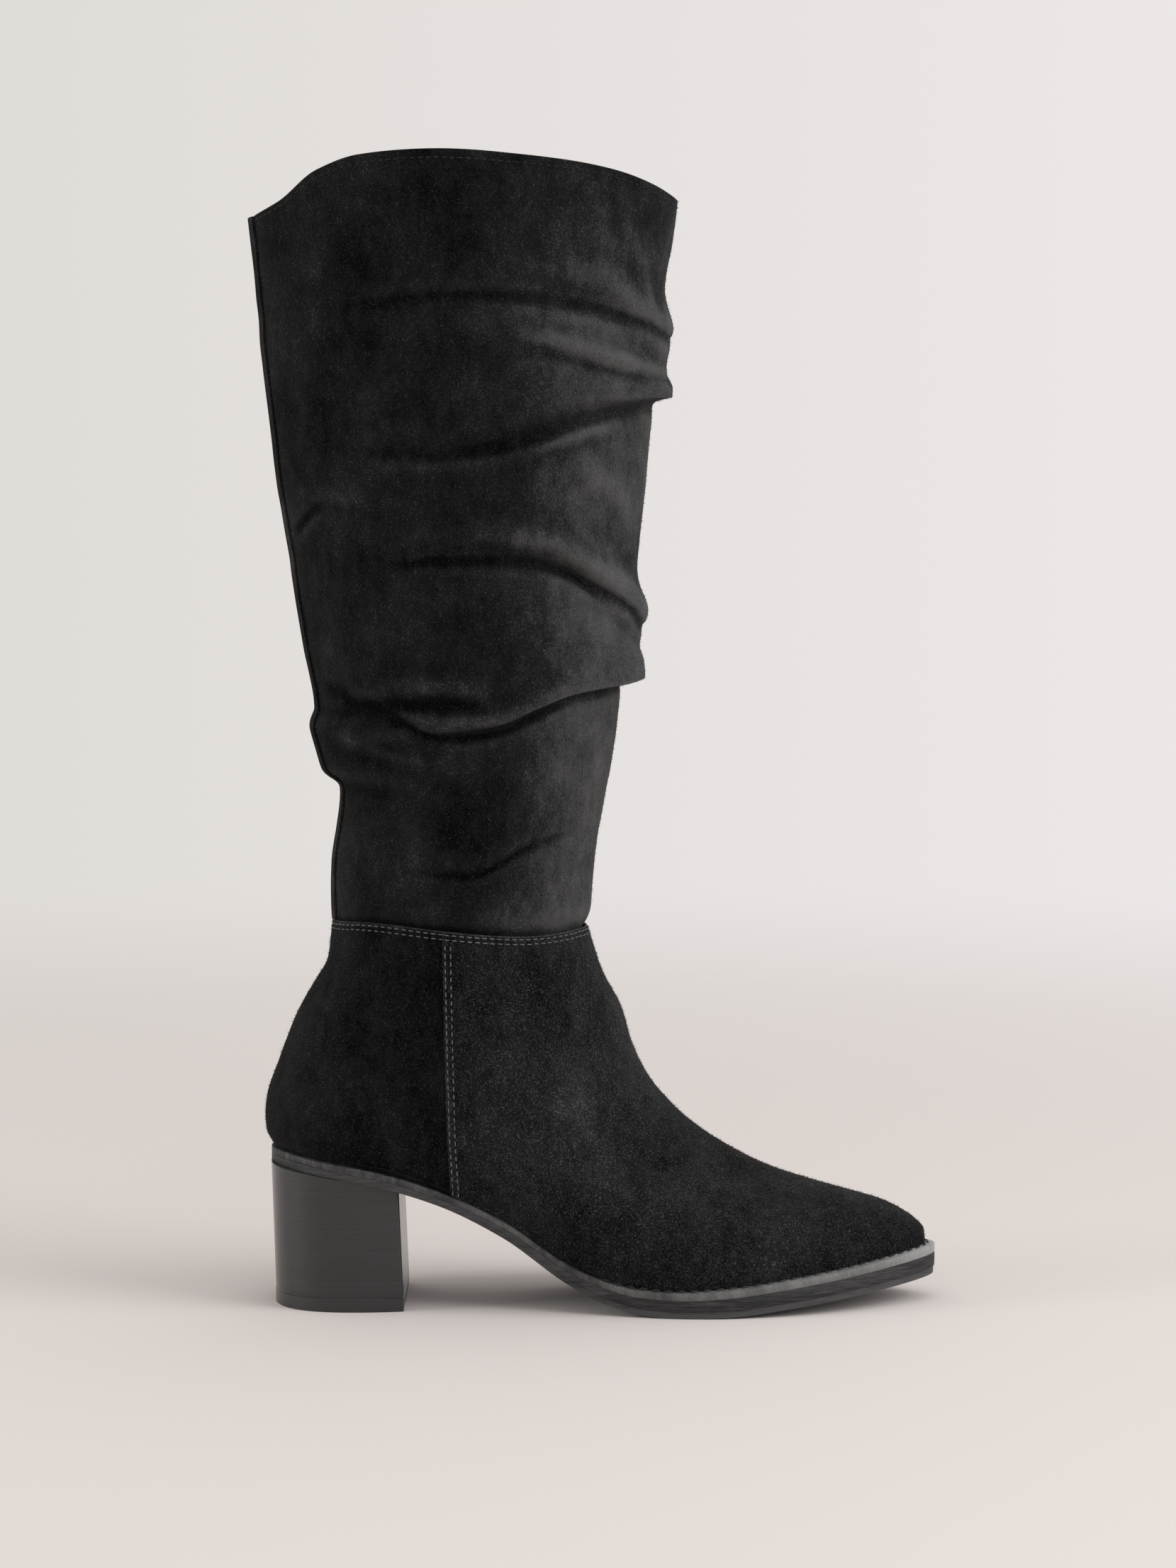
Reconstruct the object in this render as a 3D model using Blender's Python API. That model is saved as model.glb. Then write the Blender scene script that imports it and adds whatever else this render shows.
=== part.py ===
"""Slouch boot: a right knee boot in suede with a slack shaft, a thin welt and a block heel.

All sizes are in millimetres until a mesh is made, and the meshes are in metres.
+X runs to the toe, +Z up, -Y to the boot's outer side. Every curve around the boot is
read at a station: 0 at the back, 1 at the front, along each side.
"""

from collections import namedtuple

import bpy
import numpy as np

# Driving sizes
LENGTH = 257.2
BALL_WIDTH = 88.0
HEEL_HEIGHT = 54.6
TOE_SPRING = 9.6
OUTSOLE = 8.0
WELT = 3.2
WELT_LEDGE = 3.2
TREAD_BAND = 2.6
TREAD_STEP = 0.5
TREAD_LIP = 0.2
HEEL_LENGTH = 51.9
HEEL_WIDTH = 63.0
HEEL_TURN = 0.64
HEEL_ROUNDNESS = 2.4
HEEL_BACK_TAPER = 1.5
BREAST_LEAN = 1.7
BREAST_NARROWING = 0.06
TOP_LIFT = 5.2
TOP_LIFT_FLARE = 0.5
ANKLE_RISE = 88.0
ANKLE_WIDTH = 69.6
UPPER_WALL = 2.0
SKIVED_EDGE = 1.0
VAMP_STEP = 0.9
VAMP_EDGE = 0.5
SIDE_SEAM = 70.1
SIDE_SEAM_SLANT = 2.9
SHAFT_HEIGHT = 293.0
SHAFT_WALL = 1.8
SHAFT_LENGTH = 163.0
SHAFT_WIDTH = 76.0
SLOUCH = 8.0
LAP = 8.0
SEAM_TUCK = 0.5
SKIVE_START = 2.2
SKIVE_END = 1.4
STRAP_WIDTH = 12.0
STRAP_THICKNESS = 1.2
INSOLE = 2.0
CLEARANCE = 0.3
LAP_GAP = 0.5
INSOLE_GAP = 0.8
WAIST_STATION = 0.4
BALL_STATION = 0.8
MM = 0.001

# How finely each form is divided
SOLE_STEPS = 26
QUARTER_STEPS = 8
VAMP_STEPS = 13
FOOT_ROWS = 19
HEEL_STEPS = 10
LAP_ROWS = 2
COLLAR_ROWS = 2

# Sole, from back to tip: where along LENGTH, half width before its ends are rounded off as
# a share of BALL_WIDTH, swing of its middle line to the inner side as a share of
# BALL_WIDTH, arch as a share of HEEL_HEIGHT, spring as a share of TOE_SPRING, outsole and
# welt thickness as shares of OUTSOLE and WELT, ledge as a share of WELT_LEDGE.
Sole = namedtuple("Sole", "at fullness swing arch spring outsole welt ledge")
SOLE = (
    Sole(0.00, 0.560, 0.000, 1.000, 0.00, 0.35, 0.90, 0.20),
    Sole(0.05, 0.612, 0.000, 0.974, 0.00, 0.35, 0.90, 0.20),
    Sole(0.11, 0.570, 0.000, 0.930, 0.00, 0.35, 0.90, 0.20),
    Sole(0.17, 0.488, -0.006, 0.880, 0.00, 0.34, 0.88, 0.22),
    Sole(0.25, 0.398, -0.022, 0.765, 0.00, 0.32, 0.85, 0.28),
    Sole(0.35, 0.342, -0.042, 0.530, 0.00, 0.48, 0.85, 0.42),
    Sole(0.45, 0.366, -0.044, 0.203, 0.00, 0.62, 0.90, 0.65),
    Sole(0.50, 0.404, -0.038, 0.072, 0.00, 0.74, 0.93, 0.80),
    Sole(0.55, 0.448, -0.030, 0.000, 0.00, 0.83, 0.96, 0.90),
    Sole(0.62, 0.505, -0.020, 0.000, 0.00, 0.85, 0.98, 1.00),
    Sole(0.68, 0.536, -0.011, 0.000, 0.00, 0.92, 1.00, 1.00),
    Sole(0.78, 0.547, 0.000, 0.000, 0.31, 0.96, 1.00, 1.00),
    Sole(0.86, 0.528, 0.012, 0.000, 0.55, 0.98, 1.03, 1.00),
    Sole(0.93, 0.484, 0.023, 0.000, 0.78, 1.00, 1.06, 1.00),
    Sole(1.00, 0.415, 0.034, 0.000, 1.00, 1.02, 1.10, 1.00),
)

# Foot of the upper, from the feather line to the ankle seam: back and front ends of each
# line (reach as shares of LENGTH, lift as shares of ANKLE_RISE above the heel seat), girth
# at heel, waist and ball as shares of the feather line's, how far the line has turned from
# the last's outline to the ankle's oval, and how much of the arch's sag it keeps.
Foot = namedtuple("Foot", "up back_at back_lift front_at front_lift heel waist ball oval sag")
FOOT = (
    Foot(0.00, 0.005, 0.000, 0.986, -0.436, 1.00, 1.00, 1.000, 0.00, 1.00),
    Foot(0.06, -0.005, 0.028, 0.983, -0.384, 1.01, 1.05, 1.015, 0.00, 0.96),
    Foot(0.12, -0.011, 0.068, 0.968, -0.334, 1.02, 1.10, 1.010, 0.00, 0.92),
    Foot(0.20, -0.013, 0.130, 0.926, -0.262, 1.02, 1.14, 0.985, 0.00, 0.85),
    Foot(0.30, -0.011, 0.205, 0.840, -0.190, 1.00, 1.16, 0.930, 0.05, 0.70),
    Foot(0.40, -0.005, 0.282, 0.755, -0.110, 0.98, 1.16, 0.860, 0.15, 0.52),
    Foot(0.50, 0.007, 0.372, 0.678, 0.003, 0.97, 1.12, 0.800, 0.30, 0.36),
    Foot(0.60, 0.019, 0.468, 0.620, 0.128, 0.97, 1.08, 0.780, 0.45, 0.22),
    Foot(0.70, 0.033, 0.570, 0.573, 0.278, 0.98, 1.04, 0.800, 0.60, 0.12),
    Foot(0.80, 0.051, 0.670, 0.543, 0.446, 1.00, 1.00, 0.850, 0.75, 0.05),
    Foot(0.88, 0.068, 0.750, 0.526, 0.610, 1.00, 1.00, 0.900, 0.87, 0.00),
    Foot(0.94, 0.083, 0.828, 0.497, 0.776, 1.00, 1.00, 0.950, 0.95, 0.00),
    Foot(1.00, 0.090, 1.000, 0.475, 0.972, 1.00, 1.00, 1.000, 1.00, 0.00),
)

# Ankle seam: its height at stations 0, 0.15, 0.45, 0.8 and 1 as shares of ANKLE_RISE
SEAM_STATIONS = (0.0, 0.15, 0.45, 0.8, 1.0)
SEAM_LIFT = (1.0, 1.012, 0.984, 0.957, 0.972)

# Collar edge: the drop below its highest point, as shares of SHAFT_HEIGHT
COLLAR_STATIONS = (0.0, 0.07, 0.17, 0.27, 0.45, 0.65, 0.85, 0.95, 1.0)
COLLAR_DROP = (0.085, 0.066, 0.026, 0.007, 0.0, 0.008, 0.026, 0.046, 0.062)

# Slack tube without its folds, from ankle to collar: height as a share of SHAFT_HEIGHT,
# back and front as shares of SHAFT_LENGTH from the heel's back, width of SHAFT_WIDTH
Tube = namedtuple("Tube", "up back front width")
TUBE = (
    Tube(0.00, 0.152, 0.752, 0.916),
    Tube(0.04, 0.151, 0.758, 0.921),
    Tube(0.14, 0.158, 0.784, 0.940),
    Tube(0.20, 0.147, 0.801, 0.947),
    Tube(0.29, 0.112, 0.831, 0.960),
    Tube(0.46, 0.060, 0.868, 0.974),
    Tube(0.62, 0.019, 0.894, 0.984),
    Tube(0.90, -0.031, 0.950, 1.000),
    Tube(1.00, -0.052, 0.973, 1.000),
)

# Lines of the folds from the collar down, each running right round the shaft: its height
# as shares of SHAFT_HEIGHT and how far it stands out of the tube as shares of SLOUCH, at
# stations 0, 0.2, 0.4, 0.6, 0.8 and 1, and the rows of faces from it to the line below.
FOLD_STATIONS = (0.0, 0.2, 0.4, 0.6, 0.8, 1.0)
Fold = namedtuple("Fold", "height out rows")
FOLDS = {
    "plain_top": Fold((0.85, 0.87, 0.88, 0.88, 0.88, 0.83), (0, 0, 0, 0, 0, -0.12), 2),
    "upper_ridge": Fold((0.83, 0.835, 0.845, 0.85, 0.84, 0.755), (0, 0, 0.04, 0.06, 0.15, 0.5), 2),
    "upper_groove": Fold((0.79, 0.80, 0.81, 0.813, 0.804, 0.723), (0, -0.08, -0.22, -0.3, -0.2, 0.42), 2),
    "upper_roll": Fold((0.76, 0.765, 0.77, 0.765, 0.735, 0.696), (0, 0.04, 0.1, 0.15, 0.3, 0.74), 2),
    "upper_belly": Fold((0.67, 0.665, 0.65, 0.64, 0.677, 0.679), (0, 0.06, 0.2, 0.25, 0.5, 0.78), 2),
    "upper_lip": Fold((0.61, 0.605, 0.597, 0.603, 0.657, 0.668), (0, -0.08, -0.12, -0.12, -0.06, 0.1), 2),
    "plain_middle": Fold((0.55, 0.55, 0.55, 0.55, 0.54, 0.47), (0, 0, 0, 0, 0, -0.02), 2),
    "lower_ridge": Fold((0.50, 0.507, 0.51, 0.508, 0.481, 0.401), (0, 0.04, 0.08, 0.12, 0.28, 0.67), 2),
    "lower_groove": Fold((0.46, 0.466, 0.472, 0.474, 0.455, 0.353), (0, -0.1, -0.3, -0.38, -0.28, 0.66), 2),
    "lower_roll": Fold((0.39, 0.39, 0.40, 0.408, 0.387, 0.338), (0, 0.06, 0.22, 0.28, 0.44, 0.8), 3),
    "lower_belly": Fold((0.305, 0.31, 0.30, 0.30, 0.317, 0.321), (-0.04, 0.12, 0.3, 0.38, 0.68, 0.98), 2),
    "lower_lip": Fold((0.28, 0.275, 0.249, 0.255, 0.291, 0.303), (0.04, -0.1, -0.24, -0.26, -0.12, -0.18), 2),
    "back_roll": Fold((0.25, 0.24, 0.205, 0.205, 0.228, 0.235), (0.52, 0.36, 0.12, 0.06, 0.04, 0), 2),
    "back_belly": Fold((0.201, 0.196, 0.175, 0.175, 0.187, 0.193), (0.36, 0.22, 0.06, 0.05, 0.04, 0), 1),
    "back_lip": Fold((0.174, 0.166, 0.142, 0.142, 0.155, 0.16), (-0.4, -0.18, 0, 0.02, 0.02, 0), 2),
    "low_crease": Fold((0.08, 0.078, 0.068, 0.075, 0.108, 0.12), (0, -0.05, -0.12, -0.15, -0.1, 0), 2),
    "plain_foot": Fold((0.025, 0.024, 0.022, 0.02, 0.02, 0.022), (0.03, 0.03, 0.03, 0.03, 0.03, 0.03), 1),
}


def smooth(stations, values, at):
    """Monotone cubic through the stations, so a level stretch stays level."""
    stations = np.asarray(stations, float)
    values = np.asarray(values, float)
    at = np.clip(np.asarray(at, float), stations[0], stations[-1])
    step = np.diff(stations)
    rise = np.diff(values) / step
    inner = np.where(
        rise[:-1] * rise[1:] > 0,
        (step[:-1] + step[1:]) * rise[:-1] * rise[1:]
        / np.where(rise[:-1] * rise[1:] > 0, step[:-1] * rise[:-1] + step[1:] * rise[1:], 1.0),
        0.0,
    )
    slope = np.concatenate([[rise[0]], inner, [rise[-1]]])
    index = np.clip(np.searchsorted(stations, at, side="right") - 1, 0, len(step) - 1)
    t = (at - stations[index]) / step[index]
    left = (1 + 2 * t) * (1 - t) ** 2 * values[index] + t * (1 - t) ** 2 * step[index] * slope[index]
    right = t * t * (3 - 2 * t) * values[index + 1] - t * t * (1 - t) * step[index] * slope[index + 1]
    return left + right


def column(table, name, at):
    """One named column of a table, read smoothly along its first column."""
    return smooth([row[0] for row in table], [getattr(row, name) for row in table], at)


def tread(at):
    """Height of the sole's underside at a share of its length."""
    return HEEL_HEIGHT * column(SOLE, "arch", at) + TOE_SPRING * column(SOLE, "spring", at)


def welt_bottom(at):
    return tread(at) + OUTSOLE * column(SOLE, "outsole", at)


def sole_top(at):
    """Height of the welt's top, on which the upper stands."""
    return welt_bottom(at) + WELT * column(SOLE, "welt", at)


def sole_half(at, inset=0.0):
    """Half width of the sole at a share of its length."""
    at = np.clip(at, 0.0, 1.0)
    rounding = 2 * np.sqrt(at * (1 - at))
    return np.maximum(BALL_WIDTH * column(SOLE, "fullness", at) - inset, 0.0) * rounding


def sole_middle(at):
    return BALL_WIDTH * column(SOLE, "swing", at)


def heel_seat():
    return float(sole_top(0.0))


def round_stations(count, first=0.0, last=1.0):
    """Stations from first to last, spaced as on a circle so the ends stay round."""
    begin = np.arccos(1 - 2 * first)
    end = np.arccos(1 - 2 * last)
    return (1 - np.cos(np.linspace(begin, end, count + 1))) / 2


def quarter_stations(seam):
    """Stations of the quarter; the first two span the back strap's half width."""
    strap = np.arcsin(STRAP_WIDTH / SHAFT_WIDTH)
    turns = np.linspace(strap, np.arccos(1 - 2 * seam), QUARTER_STEPS)
    return np.concatenate([[0.0], (1 - np.cos(turns)) / 2])


def seam_height(station):
    return heel_seat() + ANKLE_RISE * smooth(SEAM_STATIONS, SEAM_LIFT, station)


def feather_half(station):
    """Half width of the feather line, the sole's outline less the welt's ledge."""
    ledge = WELT_LEDGE * column(SOLE, "ledge", station)
    return sole_half(station, ledge)


def foot_point(up, station, side):
    """Points of the foot's outer surface: side is -1 outside and +1 inside."""
    back_x = LENGTH * column(FOOT, "back_at", up)
    front_x = LENGTH * column(FOOT, "front_at", up)
    back_z = heel_seat() + ANKLE_RISE * column(FOOT, "back_lift", up)
    front_z = heel_seat() + ANKLE_RISE * column(FOOT, "front_lift", up)
    x = back_x + (front_x - back_x) * station
    rise = BALL_STATION - WAIST_STATION
    waist_share = np.clip(1 - abs(station - WAIST_STATION) / rise, 0, 1)
    ball_share = np.clip((station - WAIST_STATION) / rise, 0, 1)
    girth = column(FOOT, "heel", up) * np.clip(1 - station / WAIST_STATION, 0, 1)
    girth = girth + column(FOOT, "waist", up) * waist_share + column(FOOT, "ball", up) * ball_share
    oval = column(FOOT, "oval", up)
    ankle_half = ANKLE_WIDTH * np.sqrt(np.clip(station * (1 - station), 0, None))
    half = (1 - oval) * girth * feather_half(station) + oval * ankle_half
    y = (1 - oval) * sole_middle(station) + side * half
    chord = back_z + (front_z - back_z) * station
    feather_at = FOOT[0].back_at + (FOOT[0].front_at - FOOT[0].back_at) * station
    first_back = sole_top(FOOT[0].back_at)
    first_front = sole_top(FOOT[0].front_at)
    sag = sole_top(feather_at) - (first_back + (first_front - first_back) * station)
    last_back = heel_seat() + ANKLE_RISE * FOOT[-1].back_lift
    last_front = heel_seat() + ANKLE_RISE * FOOT[-1].front_lift
    wave = seam_height(station) - (last_back + (last_front - last_back) * station)
    z = chord + column(FOOT, "sag", up) * sag + up**4 * wave
    settled = np.clip(1 - up / FOOT[1].up, 0, 1)
    z = z + settled * (sole_top(feather_at) + CLEARANCE - z)
    return np.stack([x, y, z], axis=-1)


def loop_around(stations):
    """Stations and sides of a closed line: out along the outer side, back on the inner."""
    around = np.concatenate([stations, stations[-2:0:-1]])
    side = np.concatenate([-np.ones(len(stations)), np.ones(len(stations) - 2)])
    return around, side


def inset_line(line, distance):
    """A closed line moved inwards in plan, square to itself."""
    along = np.roll(line, -1, axis=0) - np.roll(line, 1, axis=0)
    away = np.stack([along[:, 1], -along[:, 0], np.zeros(len(line))], axis=-1)
    away /= np.maximum(np.linalg.norm(away, axis=1, keepdims=True), 1e-9)
    return line - distance * away


def outward(grid):
    """Unit normals of a grid of rows of closed loops, pointing out of the boot."""
    along = np.roll(grid, -1, axis=1) - np.roll(grid, 1, axis=1)
    upward = np.gradient(grid, axis=0)
    normal = np.cross(along, upward)
    return normal / np.maximum(np.linalg.norm(normal, axis=-1, keepdims=True), 1e-9)


def smoothed(field, passes):
    """Neighbouring values evened out, for an inner wall without pinches."""
    for _ in range(passes):
        padded = np.concatenate([field[:1], field, field[-1:]])
        field = (padded[:-2] + 2 * padded[1:-1] + padded[2:]) / 4
        field = (np.roll(field, 1, axis=1) + 2 * field + np.roll(field, -1, axis=1)) / 4
    return field


def seam_station(up):
    """Station of the side seam, where the vamp laps over the quarter."""
    back_x = LENGTH * column(FOOT, "back_at", up)
    front_x = LENGTH * column(FOOT, "front_at", up)
    return (SIDE_SEAM - SIDE_SEAM_SLANT * up - back_x) / (front_x - back_x)


def ankle_stations():
    """Stations at the ankle seam, shared so that the lap's faces run side by side."""
    seam = float(seam_station(1.0))
    vamp = round_stations(VAMP_STEPS, seam, 1.0)
    return np.concatenate([quarter_stations(seam), vamp[1:]])


def foot_rows():
    """Shares up the foot, closer together where the edge is skived for the lap."""
    skive = LAP / ANKLE_RISE
    lower = np.linspace(0, 1, FOOT_ROWS - 2) * (1 - (SKIVE_START + 1) * skive)
    upper = [1 - SKIVE_START * skive, 1 - SKIVE_END * skive, 1 - SKIVE_END / 2 * skive, 1.0]
    return np.concatenate([lower, upper])


def foot_wall(up):
    """Wall thickness up the foot, skived thin where the shaft tucks inside it."""
    skive = LAP / ANKLE_RISE
    thin = np.clip((up - (1 - SKIVE_START * skive)) / ((SKIVE_START - SKIVE_END) * skive), 0, 1)
    return UPPER_WALL + (SKIVED_EDGE - UPPER_WALL) * thin


def shell(outer, inner):
    """Closed wall between two grids of closed loops, open at both ends."""
    rows, around = outer.shape[:2]
    points = np.concatenate([outer.reshape(-1, 3), inner.reshape(-1, 3)])
    here = np.arange(around)
    there = np.roll(here, -1)
    faces = []
    for row in range(rows - 1):
        low, high = row * around, (row + 1) * around
        faces.append(np.stack([low + here, low + there, high + there, high + here], axis=1))
        low, high = low + rows * around, high + rows * around
        faces.append(np.stack([low + here, high + here, high + there, low + there], axis=1))
    top, bottom = (rows - 1) * around, 0
    inner_top, inner_bottom = (2 * rows - 1) * around, rows * around
    faces.append(np.stack([top + here, top + there, inner_top + there, inner_top + here], axis=1))
    faces.append(
        np.stack([bottom + here, inner_bottom + here, inner_bottom + there, bottom + there], axis=1)
    )
    return points, np.concatenate(faces)


def slab(levels):
    """Closed solid from levels of (outer edge, inner edge) station points, bottom to top."""
    outers = [level[0] for level in levels]
    inners = [level[1] for level in levels]
    count = len(outers[0])
    loops = [np.concatenate([outer, inner[::-1]]) for outer, inner in zip(outers, inners)]
    points = np.concatenate(loops)
    size = 2 * count
    here = np.arange(size)
    there = np.roll(here, -1)
    faces = []
    for level in range(len(loops) - 1):
        low, high = level * size, (level + 1) * size
        faces.extend(np.stack([low + here, low + there, high + there, high + here], axis=1).tolist())
    top = (len(loops) - 1) * size
    for i in range(count - 1):
        j, k = size - 1 - i, size - 2 - i
        faces.append([top + i, top + i + 1, top + k, top + j])
        faces.append([j, k, i + 1, i])
    return points, faces


def make(name, points, faces, colour, roughness):
    """One object with its own material, from points in millimetres."""
    mesh = bpy.data.meshes.new(name)
    mesh.from_pydata((np.asarray(points) * MM).tolist(), [], [list(face) for face in faces])
    mesh.validate()
    mesh.shade_smooth()
    mesh.set_sharp_from_angle(angle=np.radians(50))
    material = bpy.data.materials.new(name)
    material.use_nodes = True
    shader = material.node_tree.nodes["Principled BSDF"]
    shader.inputs["Base Color"].default_value = (*colour, 1.0)
    shader.inputs["Roughness"].default_value = roughness
    mesh.materials.append(material)
    made = bpy.data.objects.new(name, mesh)
    bpy.context.scene.collection.objects.link(made)
    return made


def weld(points, faces):
    """Points that coincide made one, such as the two ends of a slab's edges at its tips."""
    keys = np.round(np.asarray(points) / 0.001).astype(np.int64)
    _, first, index = np.unique(keys, axis=0, return_index=True, return_inverse=True)
    index = index.reshape(-1)
    kept = []
    for face in faces:
        turned = [int(index[i]) for i in face]
        turned = [a for a, b in zip(turned, turned[1:] + turned[:1]) if a != b]
        if len(set(turned)) > 2:
            kept.append(turned)
    return np.asarray(points)[first], kept


def edge_level(stations, height, inset=0.0):
    """Outer and inner edge of a sole layer at one level."""
    x = LENGTH * stations
    shrink = 1 - 2 * inset / LENGTH
    x = LENGTH / 2 + (x - LENGTH / 2) * shrink
    half = sole_half(stations, inset)
    middle = sole_middle(stations)
    outer = np.stack([x, middle - half, height], axis=-1)
    inner = np.stack([x, middle + half, height], axis=-1)
    return outer, inner


def feather_stations():
    """Shares of the sole's length at which the feather line has its points."""
    seam = float(seam_station(0.0))
    vamp = round_stations(VAMP_STEPS, seam, 1.0)
    stations = np.concatenate([quarter_stations(seam), vamp[1:]])
    return FOOT[0].back_at + (FOOT[0].front_at - FOOT[0].back_at) * stations


def sole_stations():
    """Stations of the sole layers: the feather line's, the level stretch and the tips."""
    level = [row.at for row in SOLE if row.arch == 0 and row.spring == 0]
    tips = round_stations(SOLE_STEPS)[[0, 1, -2, -1]]
    return np.unique(np.round(np.concatenate([feather_stations(), level, tips]), 5))


def make_outsole():
    stations = sole_stations()
    band = np.minimum(TREAD_BAND, 0.5 * (welt_bottom(stations) - tread(stations)))
    levels = [
        edge_level(stations, tread(stations), TREAD_STEP),
        edge_level(stations, tread(stations) + band, TREAD_STEP),
        edge_level(stations, tread(stations) + band + TREAD_LIP),
        edge_level(stations, welt_bottom(stations) - CLEARANCE),
    ]
    points, faces = weld(*slab(levels))
    return make("outsole", points, faces, (0.035, 0.035, 0.036), 0.6)


def make_welt():
    stations = sole_stations()
    levels = [
        edge_level(stations, welt_bottom(stations)),
        edge_level(stations, sole_top(stations)),
    ]
    points, faces = weld(*slab(levels))
    return make("welt", points, faces, (0.12, 0.12, 0.12), 0.7)


def heel_outline(share):
    """Half width of the heel at a share of its length, a round back and a straight breast."""
    away = np.clip((HEEL_TURN - share) / HEEL_TURN, 0, 1)
    rounded = (1 - away**HEEL_ROUNDNESS) ** (1 / HEEL_ROUNDNESS)
    taper = 1 - BREAST_NARROWING * np.clip((share - HEEL_TURN) / (1 - HEEL_TURN), 0, 1) ** 2
    return HEEL_WIDTH / 2 * rounded * taper


def heel_level(height, down, grow=0.0):
    """Edges of the heel at a height; down is 0 at its top and 1 at the floor."""
    rounded = HEEL_TURN * (1 - np.cos(np.linspace(0, np.pi / 2, HEEL_STEPS + 1)))
    share = np.concatenate([rounded, [(HEEL_TURN + 1) / 2, 1.0]])
    back = HEEL_BACK_TAPER * down - grow
    breast = HEEL_LENGTH + BREAST_LEAN * (down - 1) + grow
    x = back + (breast - back) * share
    half = heel_outline(share) + grow * (share > 0)
    z = np.broadcast_to(height(x / LENGTH), x.shape) if callable(height) else np.full(x.shape, height)
    return np.stack([x, -half, z], axis=-1), np.stack([x, half, z], axis=-1)


def make_heel_block():
    bottom = TOP_LIFT + CLEARANCE
    levels = [
        heel_level(bottom, 1.0),
        heel_level(lambda at: tread(at) - CLEARANCE, 0.0),
    ]
    points, faces = weld(*slab(levels))
    return make("heel_block", points, faces, (0.045, 0.045, 0.046), 0.35)


def make_top_lift():
    levels = [
        heel_level(0.0, 1.0, TOP_LIFT_FLARE),
        heel_level(TOP_LIFT, 1.0, TOP_LIFT_FLARE),
    ]
    points, faces = weld(*slab(levels))
    return make("top_lift", points, faces, (0.03, 0.03, 0.031), 0.6)


def make_insole():
    """Insole inside the upper's wall, on the welt."""
    under = sole_stations()
    reach = FOOT[0].front_at - FOOT[0].back_at
    stations = np.unique(np.clip((under - FOOT[0].back_at) / reach, 0, 1))
    around, side = loop_around(stations)
    feather = foot_point(np.zeros_like(around), around, side)
    line = inset_line(feather, VAMP_STEP + UPPER_WALL + INSOLE_GAP)
    outer = line[: len(stations)]
    inner = np.concatenate([line[:1], line[: len(stations) - 2 : -1], line[len(stations) - 1 :][:1]])
    levels = []
    for lift in (CLEARANCE, CLEARANCE + INSOLE):
        edges = []
        for edge in (outer, inner):
            raised = edge.copy()
            raised[:, 2] = np.interp(edge[:, 0] / LENGTH, under, sole_top(under)) + lift
            edges.append(raised)
        levels.append(edges)
    points, faces = weld(*slab(levels))
    return make("insole", points, faces, (0.25, 0.22, 0.19), 0.8)


def foot_grid():
    """Outer surface of the foot with the vamp's step, and the share up of each row."""
    ups = foot_rows()
    rows = []
    for up in ups:
        seam = float(seam_station(up))
        quarter = quarter_stations(seam)
        vamp = round_stations(VAMP_STEPS, seam, 1.0)
        vamp[0] = seam + VAMP_EDGE / LENGTH
        stations = np.concatenate([quarter, vamp])
        around, side = loop_around(stations)
        on_vamp = np.concatenate([np.zeros(QUARTER_STEPS + 1), np.ones(VAMP_STEPS + 1)])
        proud = np.concatenate([on_vamp, on_vamp[-2:0:-1]])
        rows.append((foot_point(np.full_like(around, up), around, side), proud))
    grid = np.stack([row[0] for row in rows])
    return grid, rows[0][1], ups


def make_upper():
    grid, proud, ups = foot_grid()
    normal = smoothed(outward(grid), 1)
    normal /= np.linalg.norm(normal, axis=-1, keepdims=True)
    outer = grid - normal * (VAMP_STEP * (1 - proud))[None, :, None]
    inner = grid - normal * (VAMP_STEP + foot_wall(ups))[:, None, None]
    outer[0, :, 2] = grid[0, :, 2]
    rest = sole_top(inner[:, :, 0] / LENGTH) + CLEARANCE * (1 + np.arange(len(ups)))[:, None]
    inner[:, :, 2] = np.maximum(inner[:, :, 2], rest)
    inner[0, :, 2] = rest[0]
    points, faces = shell(outer, inner)
    return make("upper", points, faces, (0.012, 0.012, 0.013), 0.9)


def collar_share(station):
    return 1 - smooth(COLLAR_STATIONS, COLLAR_DROP, station)


def tube_point(height, station, side, out):
    """Point of the slack tube at a share of its height, standing out by out millimetres."""
    back = SHAFT_LENGTH * column(TUBE, "back", height)
    front = SHAFT_LENGTH * column(TUBE, "front", height)
    half = SHAFT_WIDTH / 2 * column(TUBE, "width", height)
    middle = (back + front) / 2
    reach = (front - back) / 2
    turn = np.arccos(np.clip(1 - 2 * station, -1, 1))
    normal_x = -np.cos(turn) * half
    normal_y = np.sin(turn) * reach
    size = np.hypot(normal_x, normal_y)
    x = middle - np.cos(turn) * reach + out * normal_x / size
    y = side * (np.sin(turn) * half + out * normal_y / size)
    z = heel_seat() + ANKLE_RISE + SHAFT_HEIGHT * height
    return np.stack([x, y, np.broadcast_to(z, x.shape)], axis=-1)


def fold_rows():
    """Where the shaft's rows lie, counted in fold lines up from the lowest."""
    rows = []
    for line, fold in enumerate(list(FOLDS.values())[::-1][1:] + [None]):
        steps = fold.rows if fold else COLLAR_ROWS
        rows.extend(line + np.arange(steps) / steps)
    return np.array(rows + [float(len(FOLDS))])


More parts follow.
